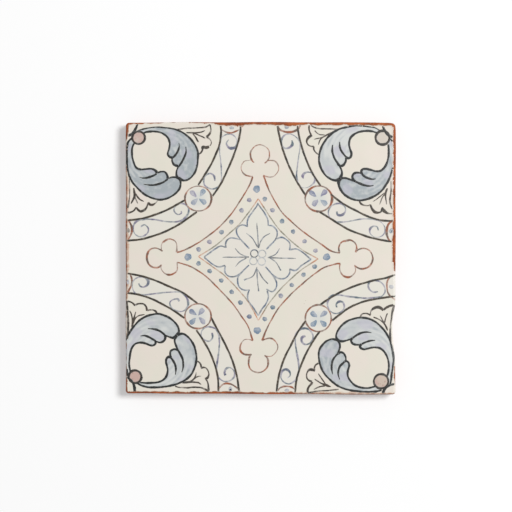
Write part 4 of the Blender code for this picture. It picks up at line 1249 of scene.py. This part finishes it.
# Each paint where it is thin and the glaze shows through, and its two colours where it is full
paints = {
    "blackLine": ((176, 178, 174), (18, 25, 27), (54, 45, 38)),
    "ringLine": ((190, 182, 168), (30, 34, 32), (64, 52, 38)),
    "palmetteLine": ((214, 206, 196), (44, 42, 38), (76, 64, 54)),
    "rustLine": ((227, 214, 202), (158, 86, 54), (106, 86, 76)),
    "scrollLine": ((218, 217, 215), (84, 102, 112), (114, 104, 136)),
    "flowerLine": ((217, 218, 216), (86, 105, 130), (96, 100, 104)),
    "diamondLine": ((222, 217, 203), (120, 118, 100), (200, 112, 56)),
    "dotPaint": ((214, 213, 212), (96, 120, 138), (132, 122, 148)),
    "petalPaint": ((214, 214, 214), (92, 124, 150), (132, 124, 154)),
}


def pigmentMaterial(name):    # tone leads from one full colour to the other
    thin, full, other = paints[name]
    material, tree, shader = newMaterial(name, pigmentLook["roughness"])
    deep = blendColour(tree, layer(tree, "tone"), paint(*full), paint(*other))
    speckle = grain(tree, pigmentLook["speckleSize"], 3.0, 0.6)
    speckle = step(tree, speckle, 0.25, 0.75, 0.72, 1.15)
    load = times(tree, layer(tree, "pigment"), speckle)
    colour = blendColour(tree, step(tree, load, 0.0, 0.95), paint(*thin), deep)
    tree.links.new(colour, shader.inputs["Base Color"])
    roughen(tree, shader, grain(tree, pigmentLook["brushSize"], 3.0), pigmentLook["bump"], 0.6)
    return material


# The clay body, seen at the rim, on the sides and on the back
clay = {
    "steps": 116,
    "cornerSteps": 3,
    "bandRings": 8,
    "seamGap": 0.8,          # from the innermost ring to the grid inside it
    "arrisRings": 7,
    "sideRings": 18,
    "footRings": 3,
    "footInset": 0.08,
    "pit": 0.04,
    "pitSize": 2.6,
    "drag": 0.02,            # marks of the cutting wire along the sides
    "dragSize": 0.8,
    "dragAlong": 0.15,       # how far the marks are drawn out, and how close they lie in height
    "dragUp": 1.3,
    "backHollow": 0.16,
    "backHollowSize": 46.0,
    "combDepth": 0.07,       # fine combed lines in the back
    "combGap": 2.3,
    "combLean": 0.07,
    "combBend": 30.0,
    "combPatch": 24.0,
    "backRim": (1.9, 6.0),   # the flat rim of the back, and where the hollows are full
    "skinLip": (0.25, 1.15),  # where much clay is bare at the rim, its skin is dull
    "skinReach": 1.2,
}


def clayGrain(x, y, z):    # pits into the clay, and finer marks drawn out along the sides
    pits = 0.5 + 0.5 * cloud(x, y, clay["pitSize"], 21, z)
    along = clay["dragAlong"]
    marks = 0.5 + 0.5 * cloud(x * along, y * along, clay["dragSize"], 22, z * clay["dragUp"])
    return clay["pit"] * pits + clay["drag"] * marks


def makeClay(material):
    # A grid for the face, rings over the rim, down the side and round the foot, and a grid for
    # the back. The back's hollows are noise, and its combed lines ((1 + sine) / 2)^2.
    crossings = latticeOf(clay["steps"], clay["cornerSteps"])[0]
    edge = latticeOf(2 * clay["steps"], 2 * clay["cornerSteps"])[1]
    lip = lipAlong(aroundOf(edge))[None, :]
    count = len(edge[0])
    sideLength = tile["thickness"] - tile["faceArris"] - tile["backArris"]
    along = np.concatenate([np.linspace(-coat["band"], 0, clay["bandRings"] + 1),
                            np.linspace(0, arrisPath, clay["arrisRings"] + 1)[1:],
                            arrisPath + np.linspace(0, sideLength, clay["sideRings"] + 1)[1:]])
    along = along[:, None]
    true = wallPoints(edge, along, np.zeros((1, count)))
    walls = wallPoints(edge, along, claySink(along, lip) + clayGrain(*np.moveaxis(true, -1, 0)))
    share = np.arange(1, clay["footRings"] + 1)[:, None] / clay["footRings"]
    inset = tile["backDraft"] + tile["backArris"] * share + clay["footInset"] * (1 - share)
    footX, footY = handCut(*roundedSquare(*edge, inset))
    foot = np.stack([footX, footY, tile["backArris"] * (1 - share) + 0 * footX], axis=-1)

    halfFace = tile["width"] / 2 - tile["faceArris"]
    shrinkFace = 1 - (coat["band"] + clay["seamGap"]) / halfFace
    gridX, gridY = roundedSquare(*crossings, tile["faceArris"])
    faceX, faceY = handCut(gridX * shrinkFace, gridY * shrinkFace)
    flat = np.stack([faceX, faceY, faceHeight(faceX, faceY) - coat["clayUnder"]], axis=-1)
    shrinkBack = 1 - clay["seamGap"] / halfFace
    backX, backY = handCut(gridX * shrinkBack, gridY * shrinkBack)
    edgeRoom = tile["width"] / 2 - np.maximum(np.abs(backX), np.abs(backY))
    hollow = clay["backHollow"] * (0.5 + 0.5 * cloud(backX, backY, clay["backHollowSize"], 31))
    across = backX + clay["combLean"] * backY + cloud(backX, backY, clay["combBend"], 32)
    comb = np.sin(2 * np.pi * across / clay["combGap"])
    patches = smooth(cloud(backX, backY, clay["combPatch"], 33), -0.6, 0.4)
    comb = clay["combDepth"] * (0.5 + 0.5 * comb) ** 2 * patches
    backZ = np.maximum(hollow + comb, 0) * smooth(edgeRoom, *clay["backRim"])
    back = np.stack([backX, backY, backZ], axis=-1)

    points = np.vstack([block.reshape(-1, 3) for block in (flat, walls, foot, back)])
    rows = gridX.shape[0]
    faceIndex, faceQuads = gridFaces(rows, rows)
    rings = len(along) + clay["footRings"]
    firstWall = rows * rows
    backIndex, backQuads = gridFaces(rows, rows, firstWall + rings * count)
    wallIndex = firstWall + np.arange(rings * count).reshape(rings, count)
    faces = [faceQuads, ringFaces(firstWall, count, rings), backQuads[:, ::-1],
             seamFaces(boundary(faceIndex), wallIndex[0]),
             seamFaces(boundary(backIndex), wallIndex[-1])[:, ::-1]]
    skin = smooth(lip, *clay["skinLip"]) * smooth(along, arrisPath + clay["skinReach"], arrisPath)
    rest = np.zeros(len(points) - firstWall - skin.size)
    skin = np.concatenate([np.zeros(firstWall), skin.ravel(), rest])
    return newPiece("clay_body", points, faces, material, {"skin": skin})


def makeCoat(material):
    # A grid for the face, rings over the rim and down the side, and a hidden underside
    crossings = latticeOf(coat["steps"], coat["cornerSteps"])[0]
    edge = latticeOf(2 * coat["steps"], 2 * coat["cornerSteps"])[1]
    lip = lipAlong(aroundOf(edge))[None, :]
    count = len(edge[0])
    along = np.concatenate([np.linspace(-coat["band"], 0, coat["bandRings"] + 1),
                            np.linspace(0, arrisPath, coat["arrisRings"] + 1)[1:],
                            arrisPath + np.linspace(0, coat["skirt"], coat["skirtRings"] + 1)[1:]])
    along = along[:, None]
    true = wallPoints(edge, along, np.zeros((1, count)))
    walls = wallPoints(edge, along, coatSink(along, lip, true[..., 0], true[..., 1]))
    inside = wallPoints(edge, along[-1:], np.full((1, count), coat["inside"]))
    roof = wallPoints(edge, np.array([[arrisPath]]), np.full((1, count), coat["inside"]))
    roof[..., 2] = coat["undersideHeight"]

    shrink = 1 - (coat["band"] + coat["seamGap"]) / (tile["width"] / 2 - tile["faceArris"])
    x, y = roundedSquare(*crossings, tile["faceArris"])
    x, y = handCut(x * shrink, y * shrink)
    flat = np.stack([x, y, faceHeight(x, y) - coatSink(coat["farIn"], 0.0, x, y)], axis=-1)
    points = np.vstack([block.reshape(-1, 3) for block in (flat, walls, inside, roof)])
    rows = x.shape[0]
    faceIndex, faceQuads = gridFaces(rows, rows)
    rings = len(along) + 2
    firstWall = rows * rows
    wallIndex = firstWall + np.arange(rings * count).reshape(rings, count)
    faces = [faceQuads, ringFaces(firstWall, count, rings),
             seamFaces(boundary(faceIndex), wallIndex[0]), wallIndex[-1:, ::-1]]

    room = np.broadcast_to(lip - along, (len(along), count))
    thin = np.interp(aroundOf(edge), *np.array(rim["thin"]).T)
    attributes = washes(points[:, 0], points[:, 1])
    onFlat, hidden = np.full(firstWall, coat["faceRoom"]), np.full(2 * count, coat["hiddenRoom"])
    for label, values in (("lipRoom", room), ("thinAndShadedRoom", room / thin)):
        values = np.concatenate([onFlat, values.ravel(), hidden])
        attributes[label] = np.clip(values, -2, coat["faceRoom"])
    return newPiece("glaze_coat", points, faces, material, attributes)


# The washes of thin colour in the glaze
washLook = {
    "pathStep": 0.8,         # fineness of the outlines that they fill
    "leafStep": 0.7,
    "outside": -3.0,         # depth of a point that lies well outside them
    "ballZone": 10.0,        # round a ball, where its own tone counts
    "streakTurns": 14.0,     # streaks round the leaves' common middle, long ones along the turn
    "streakAcross": 2.0,
    "streakSize": 10.0,
    "streak": 0.22,
    "flow": 0.6,             # the wash deepens from the ball to the tip
    "flowMiddle": 0.62,
    "leafZone": 1.4,
    "tint": 0.4,             # blue haze in the roundels, and its radius
    "tintReach": 4.2,
    "pool": 0.22,            # deeper colour along the outlines
    "poolReach": 1.1,
    "lilac": 0.6,
    "lilacSize": 11.0,
}


def leafOutline(leaf, sheet):    # out along the leaf's back and home along its lobes
    back, *lobes = [smoothPath(onFace(points, sheet), washLook["leafStep"])[:, :2]
                    for points in (leaf["outer"], *leaf["inner"])]
    return np.vstack([back, np.vstack(lobes)[::-1]])


def washes(x, y):
    # For each point of the glaze, how deep it lies in the leaves, the balls and the pale
    # fields, and how much colour the wash has there.
    leafDepth, ballDepth = np.full((2, *x.shape), washLook["outside"])
    leafTone, leafFlow, ballTone, discTint = np.zeros((4, *x.shape))
    sides = [smoothPath(onFace(points, "photo"), washLook["pathStep"]) for points in diamond]
    around = np.vstack([sides[0], sides[3], sides[2][::-1], sides[1][::-1]])
    paleDepth = depthInside(x, y, around)
    for sheet, corner in corners.items():
        zoom = sheets[sheet][2] / face["mmPerPixel"]
        for leaf, tone in zip((corner["leafA"], corner["leafB"]), corner["leafTones"]):
            depth = depthInside(x, y, leafOutline(leaf, sheet))
            inFront = depth > np.maximum(leafDepth, washLook["outside"] + 0.1)
            leafTone = np.where(inFront, tone, leafTone)
            leafDepth = np.maximum(leafDepth, depth)
        ball = onFace([corner["ball"][:2]], sheet)[0]
        away = np.hypot(x - ball[0], y - ball[1])
        ballDepth = np.maximum(ballDepth, corner["ball"][2] / zoom - away)
        ballTone = np.where(away < washLook["ballZone"], corner["ballTone"], ballTone)
        tip = onFace([corner["leafA"]["outer"][-1][:2]], sheet)[0]
        centre, reach = (tip + ball) / 2, np.hypot(*(tip - ball))
        turned = (x - centre[0] + 1j * (y - centre[1])) / complex(*(ball - centre))
        streak = cloud(washLook["streakTurns"] * np.angle(turned),
                       washLook["streakAcross"] * reach * np.abs(turned),
                       washLook["streakSize"], 61)
        deepening = np.clip(away / reach, 0, 1) - washLook["flowMiddle"]
        flow = washLook["streak"] * streak + washLook["flow"] * deepening
        leafFlow = np.where(away < reach * washLook["leafZone"], flow, leafFlow)
        roundel = onFace([corner["roundel"][:2]], sheet)[0]
        fromMiddle = np.hypot(x - roundel[0], y - roundel[1])
        disc = corner["roundel"][2] / zoom - fromMiddle
        haze = washLook["tint"] * np.exp(-((fromMiddle / washLook["tintReach"]) ** 4))
        discTint = np.maximum(discTint, haze)
        rings = [smoothPath(onFace(points, sheet), washLook["pathStep"])
                 for points in corner["rings"]]
        band = depthInside(x, y, np.vstack([*rings[:2], np.vstack(rings[2:])[::-1]]))
        paleDepth = np.maximum(paleDepth, np.maximum(disc, band))
    # pigment streaks run round from the ball to the tip, and pool under the outlines
    pooled = washLook["pool"] * np.exp(-np.maximum(leafDepth, 0) / washLook["poolReach"])
    leafShade = np.clip(leafTone + leafFlow + pooled, 0, 1)
    lilac = washLook["lilac"] * smooth(cloud(x, y, washLook["lilacSize"], 62), 0.2, 1.0)
    return {"leafDepth": leafDepth, "leafShade": leafShade, "leafLilac": lilac,
            "ballDepth": ballDepth, "ballTone": ballTone, "paleDepth": paleDepth,
            "discTint": discTint}


def circlePoints(middleX, middleY, radius, tall=None):
    # A closed ring of sheet points: the middle plus the radius times the cosine to the right,
    # and plus the radius, or the tall one, times the sine downwards
    turn = np.linspace(0, 2 * np.pi, 25)
    x = middleX + radius * np.cos(turn)
    return np.stack([x, middleY + (tall or radius) * np.sin(turn)], axis=1)


# How each kind of stroke is drawn: width in mm at a press of 1, relief in mm, how full the
# brush is and how far that strays, the tone from 0 to 1 and its sway, and the share of the
# width that is left at each end. The presses of palmettes and rust lines are their widths in
# picture pixels.
leafStyle = {"width": 1.36, "relief": 0.022, "load": 1.1, "patchy": 0.24, "unsteady": 0.17,
             "taper": (0.85, 1.28), "taperReach": 4.0, "tone": 0.1, "sway": 0.15, "endTone": 0.0}
veinStyle = dict(leafStyle, width=1.38, taper=(0.48, 1.0), taperReach=4.5)
petalStyle = dict(leafStyle, width=1.75, load=1.0, tone=0.2, taper=(1.0, 1.0))
ballStyle = dict(leafStyle, width=1.42, load=0.96, patchy=0.15, tone=0.8, taper=(1.0, 1.0))
ringStyle = dict(leafStyle, width=1.39, load=0.95, patchy=0.17, unsteady=0.1, tone=0.6,
                 sway=0.5, taper=(0.85, 0.85), taperReach=1.5)
palmetteStyle = {"width": 0.78, "relief": 0.018, "load": 0.7, "patchy": 0.3, "unsteady": 0.14,
                 "taper": (0.85, 0.85), "taperReach": 1.0, "tone": 0.5, "sway": 0.4,
                 "endTone": 0.0}
palmetteVein = dict(palmetteStyle, width=0.74, load=0.8, patchy=0.2, taper=(0.8, 0.6))
brownDotStyle = dict(palmetteStyle, load=0.33)
rustStyle = {"width": 0.76, "relief": 0.016, "load": 0.63, "patchy": 0.25, "unsteady": 0.15,
             "taper": (0.9, 0.9), "taperReach": 1.0, "tone": 0.5, "sway": 0.8, "endTone": 0.0}
starStyle = dict(rustStyle, load=0.72, tone=0.45)
starPress = 1.3
roundelStyle = dict(rustStyle, width=0.78, load=0.62, tone=0.65, taper=(1.0, 1.0))
scrollStyle = {"width": 0.95, "relief": 0.014, "load": 0.58, "patchy": 0.3, "unsteady": 0.2,
               "taper": (0.9, 0.8), "taperReach": 1.5, "tone": 0.4, "sway": 0.75, "endTone": 0.0}
flowerStyle = {"width": 1.08, "relief": 0.014, "load": 0.7, "patchy": 0.28, "unsteady": 0.18,
               "taper": (0.85, 0.85), "taperReach": 1.5, "tone": 0.3, "sway": 0.5, "endTone": 0.0}
flowerVein = dict(flowerStyle, width=0.84, load=0.72, tone=0.9, taper=(0.6, 1.1),
                  taperReach=3.0)
cloverLoads = (0.95, 0.42, 0.42, 0.3)
diamondStyle = {"width": 0.9, "relief": 0.012, "load": 0.62, "patchy": 0.3, "unsteady": 0.18,
                "taper": (0.8, 0.8), "taperReach": 1.5, "tone": -0.1, "sway": 0.35,
                "endTone": 1.1}
diamondTones = (-0.1, -0.1, 0.4, -0.1)


def paintLeaves(material):
    # A corner's line weight goes into the widths and the loads, and twice into a ball's width
    strokes = []
    powers = ((leafStyle, 1), (veinStyle, 1), (ballStyle, 2))
    for sheet, corner in corners.items():
        bold, bolder, fuller = ({"width": style["width"] * corner["lineWeight"] ** power,
                                 "load": style["load"] * corner["lineWeight"]}
                                for style, power in powers)
        for leaf in (corner["leafA"], corner["leafB"]):
            strokes.append(strokeOf(leaf["outer"], sheet, leafStyle, **bold))
            strokes += [strokeOf(points, sheet, leafStyle, **bold) for points in leaf["inner"]]
            strokes += [strokeOf(points, sheet, veinStyle, **bolder) for points in leaf["veins"]]
        strokes.append(strokeOf(corner["petal"], sheet, petalStyle))
        strokes.append(strokeOf(circlePoints(*corner["ball"]), sheet, ballStyle, **fuller))
    return paintStrokes("leaf_outlines", strokes, material, 41)


def paintRings(material):
    strokes = [strokeOf(points, sheet, ringStyle)
               for sheet, corner in corners.items() for points in corner["rings"]]
    return paintStrokes("ring_lines", strokes, material, 42)


def paintPalmettes(material):
    strokes = []
    for corner in corners.values():
        strokes += [strokeOf(points, "photo", palmetteStyle) for points in corner["palmetteRims"]]
        strokes += [strokeOf(points, "photo", palmetteVein) for points in corner["palmetteVeins"]]
    strokes.append(strokeOf(brownDot, "photo", brownDotStyle))
    return paintStrokes("palmette_lines", strokes, material, 43)


def paintRust(material):
    # A star point without a press of its own has the usual one. A roundel's presses are given
    # at even steps round it, and its ring is drawn with the values between them.
    strokes = [strokeOf([(*point, starPress)[:3] for point in points], "photo", starStyle)
               for points in star]
    strokes += [strokeOf(points, "photo", rustStyle) for points in trefoils]
    for sheet, corner in corners.items():
        strokes += [strokeOf(points, "photo", rustStyle) for points in corner["halfRoundels"]]
        ring = circlePoints(*corner["roundel"])
        presses = (*corner["roundelBroad"], corner["roundelBroad"][0])
        places = np.linspace(0, len(presses) - 1, len(ring))
        broad = np.interp(places, range(len(presses)), presses)
        strokes.append(strokeOf(np.column_stack([ring, broad]), sheet, roundelStyle))
    return paintStrokes("rust_lines", strokes, material, 44)


def paintScrolls(material):
    strokes = [strokeOf(points, sheet, scrollStyle)
               for sheet, corner in corners.items() for points in corner["scrolls"]]
    return paintStrokes("scroll_lines", strokes, material, 45)


def paintFlower(material):
    strokes = [strokeOf(points, "middle", flowerStyle) for points in flower["petals"]]
    strokes += [strokeOf(points, "middle", flowerVein) for points in flower["veins"]]
    strokes += [strokeOf(circlePoints(*ring), "middle", flowerVein, load=load)
                for ring, load in zip(flower["clover"], cloverLoads)]
    return paintStrokes("flower_lines", strokes, material, 46)


def paintDiamond(material):
    strokes = [strokeOf(points, "photo", diamondStyle, tone=tone)
               for points, tone in zip(diamond, diamondTones)]
    return paintStrokes("diamond_lines", strokes, material, 47)


dots = {
    "small": 3.1,
    "smallLeast": 0.94,      # a small dot's size is this share of it, and up to the spread more
    "smallSpread": 0.12,
    "smallBreadth": 0.95,
    "halfRelief": 0.02,
    "big": 4.7,
    "bigBreadth": 0.97,
    "bigLoad": 0.78,
    "bigTone": 0.1,
    "petalLength": 5.4,
    "petalBreadth": 3.0,
    "petalLean": 0.6,        # how much broader a petal is away from the middle
    "petalShift": 0.35,
}


def paintDots(material):
    dice = np.random.default_rng(48)
    marks = []
    for *at, tone, load in onFace(smallDots, "photo"):
        size = dots["small"] * (dots["smallLeast"] + dots["smallSpread"] * dice.random())
        marks.append(markOf(at, size, size * dots["smallBreadth"], load, tone))
    for *at, across, up, tone, load in halfDots:
        middle = onFace([at], "photo")[0]
        across, up = across * face["mmPerPixel"], up * face["mmPerPixel"]
        marks.append(markOf(middle, across, up, load, tone, relief=dots["halfRelief"]))
    return paintMarks("small_dots", marks, material, 49)


def paintPetals(material):    # the big dots and the petals of the roundels, in a bluer paint
    bigSize = (dots["big"], dots["big"] * dots["bigBreadth"])
    marks = [markOf(at, *bigSize, dots["bigLoad"], dots["bigTone"])
             for at in onFace(bigDots, "photo")]
    for sheet, corner in corners.items():
        middle = onFace([corner["roundel"][:2]], sheet)[0]
        for *at, load, tone in onFace(corner["petals"], sheet):
            angle = np.arctan2(*(at - middle)[::-1])
            at = at + dots["petalShift"] * (middle - at) / np.hypot(*(middle - at))
            marks.append(markOf(at, dots["petalLength"], dots["petalBreadth"], load, tone,
                                dots["petalLean"], angle))
    return paintMarks("big_dots_and_petals", marks, material, 50)


makeClay(clayMaterial())
makeCoat(glazeMaterial())
paintLeaves(pigmentMaterial("blackLine"))
paintRings(pigmentMaterial("ringLine"))
paintPalmettes(pigmentMaterial("palmetteLine"))
paintRust(pigmentMaterial("rustLine"))
paintScrolls(pigmentMaterial("scrollLine"))
paintFlower(pigmentMaterial("flowerLine"))
paintDiamond(pigmentMaterial("diamondLine"))
paintDots(pigmentMaterial("dotPaint"))
paintPetals(pigmentMaterial("petalPaint"))


def makeFloor():
    half = light["floorSize"] / 2
    mesh = bpy.data.meshes.new("floor")
    level = -light["floorDrop"] * mm
    mesh.from_pydata([(-half, -half, level), (half, -half, level), (half, half, level),
                      (-half, half, level)], [], [(0, 1, 2, 3)])
    material, tree, shader = newMaterial("paleFloor", light["floorRoughness"])
    shader.inputs["Specular IOR Level"].default_value = 0.0
    shader.inputs["Base Color"].default_value = (*([light["floorTone"]] * 3), 1.0)
    shader.inputs["Emission Color"].default_value = (1.0, 1.0, 1.0, 1.0)
    shader.inputs["Emission Strength"].default_value = light["floorGlow"]
    mesh.materials.append(material)
    floor = bpy.data.objects.new("floor", mesh)
    bpy.context.scene.collection.objects.link(floor)


def makeLight():
    around, height = np.radians(light["keyAround"]), np.radians(light["keyHeight"])
    lamp = bpy.data.lights.new("softKey", "AREA")
    lamp.shape = "DISK"
    lamp.size = light["keySize"]
    lamp.energy = light["key"]
    key = bpy.data.objects.new("softKey", lamp)
    key.location = (light["keyDistance"] * np.cos(height) * np.cos(around),
                    light["keyDistance"] * np.cos(height) * np.sin(around),
                    light["keyDistance"] * np.sin(height))
    key.rotation_euler = (0.0, np.pi / 2 - height, around)
    bpy.context.scene.collection.objects.link(key)
    world = bpy.data.worlds.new("paleRoom")
    world.use_nodes = True
    tree = world.node_tree
    seen = addNode(tree, "LightPath").outputs["Is Camera Ray"]
    strength = addNode(tree, "MapRange", {0: seen, 3: light["fill"], 4: light["backdrop"]})
    tree.nodes["Background"].inputs[0].default_value = (1.0, 1.0, 1.0, 1.0)
    tree.links.new(strength.outputs[0], tree.nodes["Background"].inputs[1])
    bpy.context.scene.world = world


view = {"framePixels": 512, "distance": 1500.0, "sensor": 36.0, "near": 50.0, "far": 20000.0}


def makeCamera():
    # Straight above, so far off that the sides don't show. The frame's width at the face is
    # the picture's pixels at the face's scale.
    width = view["framePixels"] * face["mmPerPixel"]
    lens = bpy.data.cameras.new("camera")
    lens.sensor_width = view["sensor"]
    lens.lens = view["sensor"] * view["distance"] / width
    lens.clip_start = view["near"] * mm
    lens.clip_end = view["far"] * mm
    camera = bpy.data.objects.new("camera", lens)
    middle = view["framePixels"] / 2
    camera.location = ((middle - face["centreX"]) * face["mmPerPixel"] * mm,
                       (face["centreY"] - middle) * face["mmPerPixel"] * mm,
                       (view["distance"] + tile["thickness"]) * mm)
    bpy.context.scene.collection.objects.link(camera)
    bpy.context.scene.camera = camera


makeFloor()
makeLight()
makeCamera()
print("made the floor, the light and the camera")
bpy.context.scene.view_settings.view_transform = "Standard"
